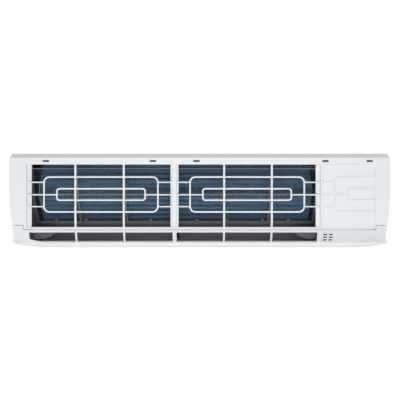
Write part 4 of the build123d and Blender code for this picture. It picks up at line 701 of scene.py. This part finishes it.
board = Finish("circuit_board")
track_layout = {
    "Vector": board.place(turn=(math.pi / 2, 0.0, 0.0)), "Scale": 160.0, "Mortar Size": 0.06,
    "Brick Width": 1.9, "Row Height": 0.32,
}
tracks = board.node("TexBrick", {"offset": 0.37, "squash": 0.7}, track_layout, out="Fac")
mask_tone = board.noise(board.place(), 60.0, 3.0)
mask_share = tracks * 0.7 + mask_tone * 0.3
green_board = board.surface(
    Base_Color=board.mixed(mask_share, (0.012, 0.10, 0.045), (0.03, 0.19, 0.085)),
    Roughness=board.between(mask_tone, 0.22, 0.36),
    Normal=board.bump(tracks, 0.3, 0.0002),
)
dressed(green_board, "main_board", "button_switch", "display_board")
dressed(dark_moulding, "board_parts", "terminal_block")

# --- Filter guide, filters and their nets --------------------------------------------------------
# The guide's curved rails carry the two filters. Each filter is a grey moulded frame, paler along
# its top as painted highlight, with a fine net of dark blue threads set in its windows while
# moulded.

# The filter frames carry a painted highlight: paler towards their top, where the light falls.
filter_moulding = moulded(
    "filter_moulding", (0.125, 0.123, 0.125), 0.48, top_highlight=((0.215, 0.215, 0.218), 0.022, 0.034)
)
dressed(grey_moulding, "filter_guide")
dressed(filter_moulding, "filter_frame_left", "filter_frame_right")

arc_centre = (0.0352, -0.0895)
arc_radius = 0.2247
arc_rear = 17.4
arc_front = 56.7
rear_gap = 0.0018
side_gap = 0.0003
mesh_pitch = 0.0015
thread_radius = 0.0001

net_thread = Finish("net_thread")
thread_tone = net_thread.noise(net_thread.place(), 30.0, 4.0)
dark_thread = net_thread.surface(
    Base_Color=net_thread.mixed(thread_tone, (0.034, 0.058, 0.090), (0.058, 0.092, 0.135)),
    Roughness=net_thread.between(thread_tone, 0.55, 0.75),
    Normal=net_thread.bump(net_thread.noise(net_thread.place(), 2500.0, 2.0), 0.2, 0.0001),
)

net = Pattern("filter_mesh", left=0.0, right=0.3, pitch=mesh_pitch, first=0.0, sweep=1.0)
left = net.size("left")
right = net.size("right")
sweep = net.size("sweep")
wide = right - left
arc = net.node("CurveArc", {"mode": "RADIUS"}, {
    "Resolution": 25, "Radius": arc_radius, "Start Angle": net.size("first"), "Sweep Angle": sweep,
})
stood_arc = net.moved(arc, (0.0, *arc_centre), (math.pi / 2, 0.0, math.pi / 2))
hoop_count = net.node("FloatToInt", None, {0: wide / net.size("pitch")})
hoop_line = net.row(hoop_count, left, net.size("pitch"))
hoops = net.repeated(hoop_line, net.swept(stood_arc, thread_radius, 4))
bar_count = net.node("FloatToInt", None, {0: sweep * arc_radius / net.size("pitch")})
bar_points = net.node("ResampleCurve", {"mode": "COUNT"}, {"Curve": stood_arc, "Count": bar_count})
thread_inputs = {"Vertices": 4, "Radius": thread_radius, "Depth": wide}
straight = net.node("MeshCylinder", None, thread_inputs)
crosswise = net.moved(straight, net.vector((left + right) * 0.5), (0.0, math.pi / 2, 0.0))
net.finished(net.joined(hoops, net.repeated(bar_points, crosswise)), dark_thread)

for side in ("left", "right"):
    low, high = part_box(f"filter_net_{side}")
    rear_edge = math.degrees(rear_gap / arc_radius)
    sizes = {
        "left": low[0] + side_gap, "right": high[0] - side_gap,
        "first": math.radians(90.0 + arc_rear + rear_edge),
        "sweep": math.radians(arc_front - arc_rear - rear_edge),
    }
    piece = formed(f"filter_net_{side}_threads", net.tree, sizes)
    placed(piece, f"{side}_filter", f"filter_net_{side}")

# --- Casing --------------------------------------------------------------------------------------
# The white shell with the intake grille in its top. It is moulded in one piece in glossy white
# plastic, hooks over the chassis at the back and is screwed to it from below.


def shell_plastic(name, colour):
    """Glossy white shell plastic: nearly even, with the faintest orange peel and a fine dusting."""
    made = Finish(name)
    spot = made.place()
    peel = made.noise(spot, 260.0, 2.0, 0.5)
    flow = made.noise(made.place(scale=(0.6, 1.0, 1.0)), 5.0, 3.0)
    low = tuple(0.985 * value for value in colour)
    return made.surface(
        Base_Color=made.mixed(flow, low, colour),
        Roughness=made.between(flow * 0.5 + peel * 0.5, 0.30, 0.40),
        Normal=made.bump(peel, 0.05, 0.0003, Normal=made.rounded(0.0009)),
    )


white_shell = shell_plastic("white_shell", (0.835, 0.845, 0.855))
dressed(white_shell, "front_casing")

# --- Louver and hinged front ---------------------------------------------------------------------
# The louver closes the outlet under the front. The front frame and the curved panel clipped to it
# swing up together on two pins. A small lens in the panel covers the display.

dressed(white_shell, "main_louver", "front_frame", "front_panel")

lens = Finish("display_lens")
lens_haze = lens.noise(lens.place(), 40.0, 3.0)
dressed(
    lens.surface(
        Base_Color=lens.mixed(lens_haze, (0.72, 0.73, 0.73), (0.78, 0.79, 0.79)),
        Roughness=lens.between(lens_haze, 0.08, 0.16),
        Coat_Weight=0.4,
        Normal=lens.bump(lens_haze, 0.03, 0.0004),
    ),
    "display_window",
)
